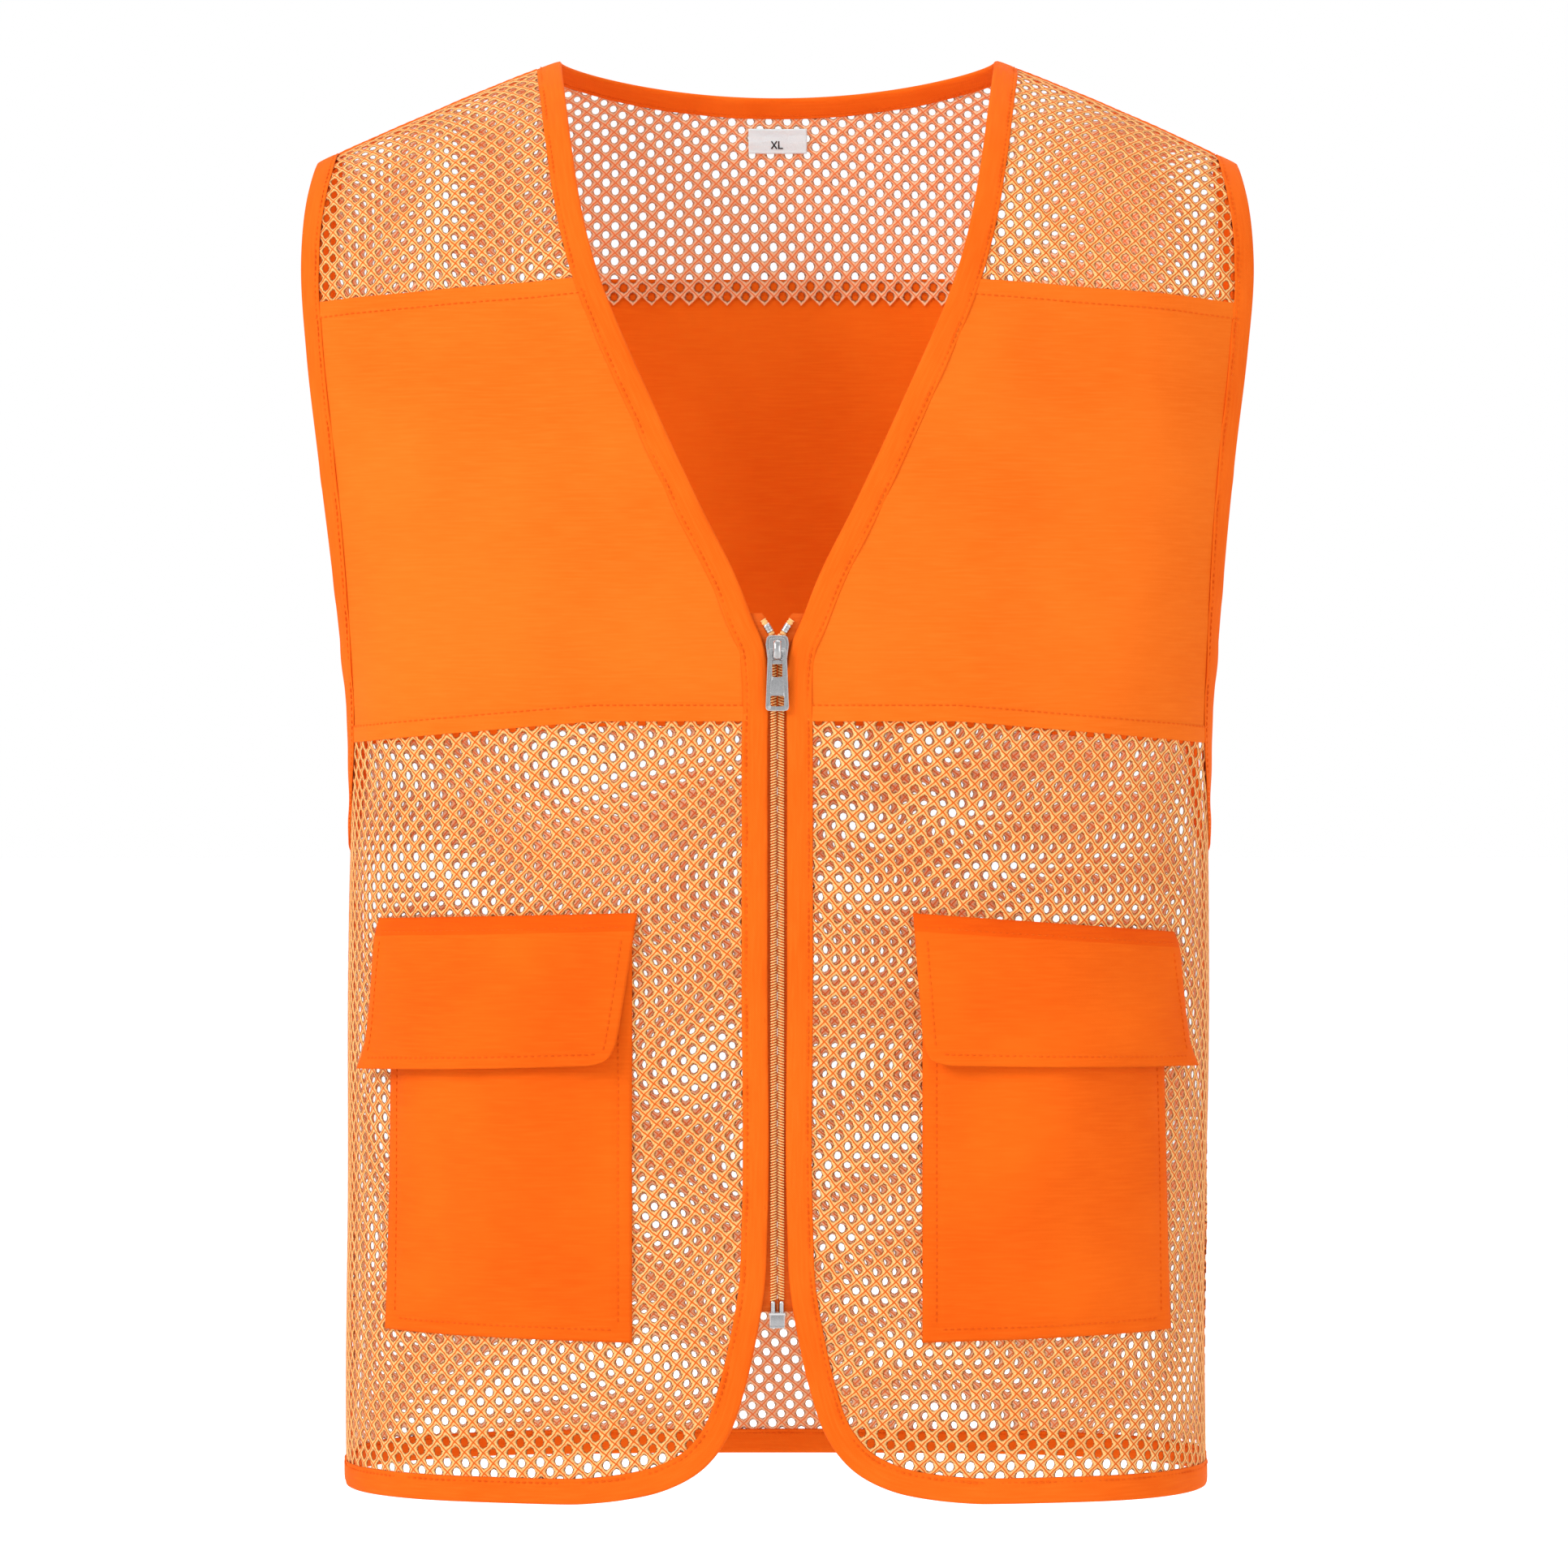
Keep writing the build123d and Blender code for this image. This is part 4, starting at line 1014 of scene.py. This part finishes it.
def make_pockets():
    rows, cols = 104, 72
    p, flat = patch(*POCKET, rows, cols)
    s, t = shares(rows, cols)
    row = 0.0058  # how far in the pocket's stitches are
    for side in (LEFT, RIGHT):
        q, lift = mirrored(p, side), pocket_lift(side, s, t)
        sheet(sided("pocket_cloth", side), sided("pocket", side), q, CLOTH, lift, POCKET_CLOTH, "pocket_weave",
              flat * [side, 1])
        sew("pocket", side, q, lift + CLOTH / 2 + 0.00005, row / POCKET_WIDE, 0.004, 1 - row / POCKET_TALL, 90, 60)
    rows, cols, row = 60, 84, 0.0052
    s, t = shares(rows, cols)
    thicker = np.maximum(0.00045 * np.clip((0.0080 - t * FLAP_TALL) / 0.0006, 0, 1),
                         0.00030 * np.clip((0.0066 - border(s, t, FLAP_WIDE, FLAP_TALL)) / 0.0007, 0, 1))
    folded = int(0.0085 / FLAP_TALL * (rows - 1)) * (cols - 1)  # faces of the strip folded down at the top
    seam = [("seam", np.linspace(0.01, 0.99, 70), np.full(70, 0.0064 / FLAP_TALL))]
    for side in (LEFT, RIGHT):
        body = (sided("flap", side), (0, 0, FLAP_TOP - 0.0075), (0, 0, FLAP_TOP - 0.0235))
        p, flat = patch(*FLAP[side], rows, cols, 0.006)
        q, lift = mirrored(p, side), flap_lift(side, s, t)
        obj = sheet(sided("flap_cloth", side), sided("pocket_flap", side), q, CLOTH, lift, POCKET_CLOTH,
                    "pocket_weave", flat * [side, 1], body, thicker)
        # the folded strip at the flap's top takes the darker copy of the weave, painted shade
        two_finishes(obj, FOLD_PAINTED_SHADE, [(1, folded), (0, len(obj.data.polygons) - folded)])
        sew("flap", side, q, lift + CLOTH / 2 + 0.00038, row / FLAP_WIDE, 0.13, 1 - row / FLAP_TALL, 50, 70, body,
            seam)


def make_closures():
    """Loop patches on the pockets and hook patches under the flaps, each with a rough pile."""
    inner, outer, top, low = 0.112, 0.138, -0.449, -0.467
    rows, cols = 40, 56
    p, flat = patch(((inner, inner), (outer, outer)), top, low, (0, 0), rows, cols)
    thick, gap = 0.0007, CLOTH / 2 + 0.0004 + 0.00005
    i, j = np.meshgrid(np.arange(rows), np.arange(cols), indexing="ij")
    rough = 0.00012 * np.sin(i * 2.1 + np.sin(j * 1.3)) * np.sin(j * 1.9 + np.sin(i * 0.9))
    for side in (LEFT, RIGHT):
        for name, node, body, lift in (
                ("loop_patch", "pocket_loop_patch", "vest", pocket_lift(side, *place(flat, *POCKET)) + gap),
                ("hook_patch", "flap_hook_patch", sided("flap", side),
                 flap_lift(side, *place(flat, *FLAP[side])) - gap)):
            sheet(sided(name, side), sided(node, side), mirrored(p, side), thick, lift, HOOKS, "hook_and_loop",
                  flat * [side, 1], body, rough)


# ---- zip ----
COIL_LO, COIL_HI = lo("zip_coil_left"), hi("zip_coil_left")
COIL_X, COIL_Y, COIL_TOP, COIL_LOW = 0.00172, (COIL_HI[1] + COIL_LO[1]) / 2, COIL_HI[2], COIL_LO[2]
COIL_PITCH = 0.00128


def coil(side):
    """Flattened spiral of nylon."""
    turns = (COIL_TOP - COIL_LOW - 0.0008) / COIL_PITCH
    a = np.arange(0, turns * 2 * math.pi, 2 * math.pi / 14)
    z = COIL_TOP - 0.0004 - a / (2 * math.pi) * COIL_PITCH - 0.00016 * np.cos(a)
    if side == RIGHT:
        z = z - COIL_PITCH / 2 * np.clip(a / 3, 0, 1) * np.clip((a[-1] - a) / 3, 0, 1)
    points = np.stack([(COIL_X + 0.00128 * np.cos(a)) * side,
                       COIL_Y + 0.00078 * np.sin(a) + 0.00006 * np.sin(a / 5 + 0.3), z], -1)
    return tube(points, 0.00031 + 0.00004 * np.cos(a))


def sewing(side):
    """The row of machine stitches that holds the coil to its tape, and the cord inside it."""
    z = np.linspace(COIL_TOP - 0.0005, COIL_LOW + 0.0005, 60)
    parts = [tube(np.stack([0 * z + COIL_X * side, 0 * z + COIL_Y, z], -1), 0.00042, 8)]
    t = np.linspace(0, 1, 5)
    for k in range(int((COIL_TOP - COIL_LOW) / (2 * COIL_PITCH)) - 1):
        z = COIL_TOP - 0.001 - 2 * k * COIL_PITCH - 0.0021 * t
        line = np.stack([(COIL_X + 0.00045 + 0.0002 * t) * side, COIL_Y - 0.00088 + 0.0004 * (2 * t - 1) ** 4, z], -1)
        parts.append(tube(line, 0.00016, 5))
    return gather(parts)


def flare(z):
    """How far the zip's free top ends stand apart from its middle at height z."""
    return 0.0068 * np.clip((z - COIL_TOP + 0.002) / 0.011, 0, 1) ** 1.1


def top_end(side, z, y, radius, sides, squash):
    """Tube along one of the zip's free top ends, flattened from front to back."""
    v, f = tube(np.stack([(0.0019 + flare(z)) * side, 0 * z + y, z], -1), radius, sides)
    v[:, 1] = COIL_Y + (v[:, 1] - COIL_Y) * squash
    return v, f


def zip_tape(side):
    """Woven zip tape: straight beside the chain, its free top end leaning out along the neck."""
    a, b = lo("zip_tape_left"), hi("zip_tape_left")
    z = np.concatenate([np.linspace(b[2], COIL_TOP, 14), np.linspace(COIL_TOP - 0.004, a[2], 90)])[:, None]
    s, out = np.linspace(0, 1, 12)[None, :], flare(z)
    x = (0.0001 + (b[0] - 0.0001) * s + out * (1 - 0.75 * s)) * side
    y = (a[1] + b[1]) / 2 + 0.0004 * np.sin(z * 260) * s * out
    p = np.stack([x, y, np.broadcast_to(z, x.shape)], -1)
    n = unit(np.cross(np.gradient(p, axis=1), np.gradient(p, axis=0)))
    verts, faces = shell(p + n * 0.00035, p - n * 0.00035)
    flat = p[..., [0, 2]]
    obj = build(sided("zip_tape_cloth", side), verts, np.concatenate(faces), ZIP_CLOTH, "zip_tape",
                sided("zip_tape", side), flat=np.concatenate([flat.reshape(-1, 2)] * 2))
    cut_from(obj)


def outline_plate(outline, y0, y1, edge, holes=()):
    """Plate cut to an outline in the XZ plane with rounded edges, as a bmesh; holes are outlines too."""
    bm = bmesh.new()
    loops = []
    for line in [outline, *holes]:
        verts = [bm.verts.new((x, y0, z)) for x, z in line]
        loops += [bm.edges.new(pair) for pair in zip(verts, verts[1:] + verts[:1])]
    bmesh.ops.triangle_fill(bm, edges=loops, use_beauty=True)
    made = bmesh.ops.extrude_face_region(bm, geom=bm.faces[:])
    bmesh.ops.translate(bm, verts=[v for v in made["geom"] if isinstance(v, bmesh.types.BMVert)], vec=(0, y1 - y0, 0))
    bmesh.ops.recalc_face_normals(bm, faces=bm.faces[:])
    sharp = [e for e in bm.edges if len(e.link_faces) == 2 and e.calc_face_angle(0) > 0.9
             and abs(e.verts[0].co.y - e.verts[1].co.y) < 1e-7]
    bmesh.ops.bevel(bm, geom=sharp, offset=edge, segments=3, profile=0.6, affect="EDGES")
    bmesh.ops.triangulate(bm, faces=[f for f in bm.faces if len(f.verts) > 4])
    return bm


def rounded(points, radius, count=6):
    """Closed outline with its corners rounded; radius may be one number or one for each corner."""
    out, size = [], len(points)
    radii = np.broadcast_to(radius, size)
    for k in range(size):
        a, b, c = (np.array(points[(k + d) % size], float) for d in (-1, 0, 1))
        u, w = unit(a - b), unit(c - b)
        half = math.acos(np.clip(u @ w, -1, 1)) / 2
        reach = min(radii[k] / math.tan(half), 0.48 * np.linalg.norm(a - b), 0.48 * np.linalg.norm(c - b))
        t = np.linspace(0, 1, count)[:, None]
        out += ((1 - t) ** 2 * (b + u * reach) + 2 * t * (1 - t) * b + t * t * (b + w * reach)).tolist()
    return out


def taper(top_half, low_half, top, low, middle=0.0):
    """Corners of an upright shape with level ends."""
    return [(middle - top_half, top), (middle + top_half, top), (middle + low_half, low), (middle - low_half, low)]


def cast(name, node, plates, body):
    """One zinc piece of several bmeshes, with crisp creases."""
    parts = []
    for bm in plates:
        bm.verts.index_update()
        parts.append((np.array([v.co for v in bm.verts]), [[v.index for v in f.verts] for f in bm.faces]))
        bm.free()
    obj = build(name, *gather(parts), ZINC, "zip_metal", node, body)
    obj.data.set_sharp_from_angle(angle=0.6)


def make_slider():
    (_, back_y, top), low = hi("zip_slider"), lo("zip_slider")[2]
    half, front = hi("zip_slider")[0], lo("zip_slider")[1] + 0.0042
    waist = top - 0.0040
    plate = rounded([(-half + 0.0006, top), (half - 0.0006, top), (half, waist), (0.78 * half, low),
                     (-0.78 * half, low), (-half, waist)], [0.0042, 0.0042, 0.0030, 0.0022, 0.0022, 0.0030])
    crown = [(x * 0.80, (z - top) * 0.80 + top - 0.0009) for x, z in plate]
    plates = [outline_plate(plate, front, front + 0.0013, 0.0004),
              outline_plate([(x * 0.9, z) for x, z in plate], back_y - 0.0010, back_y, 0.0003),
              outline_plate(taper(0.0004, 0.0004, top - 0.0012, top - 0.0044), front + 0.0010, back_y - 0.0008,
                            0.00005)]
    for s in (-1, 1):
        flange = [(0.00355 * s, top - 0.003), (0.0041 * s, top - 0.003), (0.0041 * s, low + 0.001),
                  (0.00355 * s, low + 0.001)]
        plates.append(outline_plate(flange, front + 0.0010, front + 0.0036, 0.0001))
    plates.append(outline_plate(crown, front - 0.0004, front + 0.0004, 0.0006))
    cast("slider_body", "zip_slider", plates, "slider")
    (_, y0, z0), (x1, y1, z1) = lo("zip_pull_tab"), hi("zip_pull_tab")
    t = np.linspace(0, math.pi, 25)
    bow = np.stack([0 * t, front + 0.0004 - 0.0040 * np.sin(t) ** 0.55, z1 - 0.00075 + 0.0042 * np.cos(t)], -1)
    v, f = tube(bow, 0.00078 - 0.0001 * np.sin(t), 12)
    build("slider_bridge", v * [2.5, 1, 1], f, ZINC, "zip_metal", "zip_slider", "slider")
    tab = rounded(taper(0.0043, x1, z1, z0), [0.0018, 0.0018, 0.0022, 0.0022])
    windows = [rounded(taper(0.0023, 0.0023, z1 - 0.0015, z1 - 0.01335), 0.0009),
               rounded(taper(0.0031, 0.0031, z0 + 0.0070, z0 + 0.0022), 0.0008)]
    raised = rounded(taper(0.0029, 0.0034, z1 - 0.0146, z0 + 0.0080), 0.0010)
    cast("pull_tab", "zip_pull_tab", [outline_plate(tab, y0, y1, 0.00042, windows),
                                      outline_plate(raised, y0 - 0.00022, y0 + 0.0004, 0.00018)], "pull")


def make_zip():
    stop_low, stop_top = lo("zip_top_stop_left")[2], hi("zip_top_stop_left")[2]
    for side in (LEFT, RIGHT):
        build(sided("coil", side), *coil(side), COIL, "zip_coil", sided("zip_coil", side))
        v, f = sewing(side)
        build(sided("coil_sewing", side), v, f, THREAD, "zip_tape", flat=v[:, [0, 2]])
        zip_tape(side)
        radius = 0.00158 + 0.00016 * np.sin(np.linspace(0, 3 * math.pi, 9)) ** 2
        stop = top_end(side, np.linspace(stop_low, stop_top, 9), COIL_Y - 0.0002, radius, 14, 0.72)
        build(sided("top_stop", side), *stop, ZINC, "zip_metal", sided("zip_top_stop", side))
        z = np.linspace(COIL_TOP - 0.001, stop_top + 0.0022, 90)
        radius = 0.00140 * (1 + 0.10 * np.sin(z * 2 * math.pi / COIL_PITCH))
        build(sided("coil_end", side), *top_end(side, z, COIL_Y + 0.0001, radius, 10, 0.62), COIL, "zip_coil")
    for node in ("zip_insertion_pin", "zip_retainer_pin"):
        (x0, y0, z0), (x1, y1, z1) = lo(node), hi(node)
        z = np.concatenate([[z1, z1 - 0.0003], np.linspace(z1 - 0.0009, z0 + 0.0006, 12), [z0 + 0.0002, z0]])
        radius = np.array([0.72, 0.92] + [1.0] * 12 + [0.85, 0.6]) * 0.00118
        v, f = tube(np.stack([0 * z + (x0 + x1) / 2, 0 * z + (y0 + y1) / 2, z], -1), radius, 18)
        build(node + "_tube", v, f, ZINC, "zip_metal", node)
    (x0, y0, z0), (x1, y1, z1) = lo("zip_retainer_box"), hi("zip_retainer_box")
    middle, half = (x0 + x1) / 2, (x1 - x0) / 2
    plates = [outline_plate(rounded(taper(half, half - 0.0002, z1, z0, middle), 0.0010), y0, y1, 0.0007)]
    for lip in (taper(half + 0.0001, half + 0.0001, z1 + 0.0001, z1 - 0.0011, middle),
                taper(half - 0.0001, half - 0.0003, z0 + 0.0012, z0 - 0.0001, middle)):
        plates.append(outline_plate(rounded(lip, 0.0004), y0 - 0.0002, y1, 0.0003))
    cast("retainer_box", "zip_retainer_box", plates, "vest")


# ---- neck label ----
def make_label():
    """Satin label with a generic size mark, XL."""
    a, b = lo("neck_label"), hi("neck_label")
    x, z = np.meshgrid(np.linspace(a[0], b[0], 44), np.linspace(b[2], a[2], 20))
    bow = 0.0003 * np.sin((x - a[0]) / (b[0] - a[0]) * math.pi) - 0.00012 * np.sin(z * 900)
    sheet("size_label", "neck_label", skin(BACK, x, z), 0.0004, -CLOTH / 2 - 0.0007 - bow, SATIN, "label_cloth",
          np.stack([x, z], -1))
    near, far, high, middle = 0.0005, 0.0031, 0.0018, a[2] + 0.0042
    foot = 0.0002 - high
    parts = []
    for x0, z0, x1, z1 in ((-far, high, -near, -high), (-far, -high, -near, high), (near, high, near, -high),
                           (near, foot, near + 0.8 * (far - near), foot)):
        t = np.linspace(0, 1, 10)
        q = skin(BACK, x0 + (x1 - x0) * t, middle + z0 + (z1 - z0) * t)
        parts.append(tube(q + normals(q) * (-CLOTH / 2 - 0.00125), 0.00035))
    v, f = gather(parts)
    build("size_label_thread", v, f, INK, "label_cloth", flat=v[:, [0, 2]])


# ---- camera, light and floor ----
def make_studio():
    scene, link = bpy.context.scene, bpy.context.collection.objects.link
    camera = bpy.data.objects.new("camera", bpy.data.cameras.new("camera"))
    distance, metres_per_pixel, photo_width = 3.137, 0.0003906, 1932
    camera.location = (0.0031, -distance, -0.3469)
    camera.rotation_euler = (math.pi / 2, 0, 0)
    camera.data.sensor_width = 36
    camera.data.lens = camera.data.sensor_width * distance / (photo_width * metres_per_pixel)
    camera.data.clip_end = 100
    link(camera)
    scene.camera = camera
    scene.view_settings.view_transform = "Standard"
    floor_z, reach = HEM - 0.15, 40.0
    mesh = bpy.data.meshes.new("studio_floor")
    mesh.from_pydata([(x * reach, y * reach, floor_z) for y in (-1, 1) for x in (-1, 1)], [], [(0, 1, 3, 2)])
    # floor and sky light the vest evenly, and both show behind it as white paper
    paper = Finish("studio_paper", 0.95, specular=0.1)
    paper.inputs["Base Color"].default_value = (0.98, 0.98, 0.98, 1)
    paper.inputs["Emission Color"].default_value = (1, 1, 1, 1)
    paper.put(paper.times(paper.node("LightPath")["Is Camera Ray"], 0.24), paper.inputs["Emission Strength"])
    mesh.materials.append(paper.material)
    floor = bpy.data.objects.new("studio_floor", mesh)
    link(floor)
    world = bpy.data.worlds.new("studio_world")
    world.use_nodes = True
    sky = world.node_tree
    background, light = sky.nodes["Background"], 0.78
    background.inputs[0].default_value = (1, 1, 1, 1)
    shine = sky.nodes.new("ShaderNodeMath")
    shine.operation = "MULTIPLY_ADD"
    shine.inputs[1].default_value, shine.inputs[2].default_value = 1 - light, light
    sky.links.new(sky.nodes.new("ShaderNodeLightPath").outputs["Is Camera Ray"], shine.inputs[0])
    sky.links.new(shine.outputs[0], background.inputs[1])
    scene.world = world
    for name, spot, size, power in (
            ("key_light", (-2.2, -2.2, 1.1), 1.3, 58), ("fill_light", (2.2, -2.6, 0.2), 2.0, 14),
            ("top_light", (0.2, 0.9, 2.2), 1.6, 22), ("back_light", (1.4, 2.4, 0.6), 1.6, 16)):
        data = bpy.data.lights.new(name, "AREA")
        data.size, data.energy = size, power
        lamp = bpy.data.objects.new(name, data)
        lamp.location = spot
        lamp.rotation_euler = (Vector((0, 0, -0.3)) - Vector(spot)).to_track_quat("-Z", "Y").to_euler()
        link(lamp)


make_studio()
make_bindings()
make_netting()
make_bands()
make_seams()
make_pockets()
make_closures()
make_zip()
make_slider()
make_label()
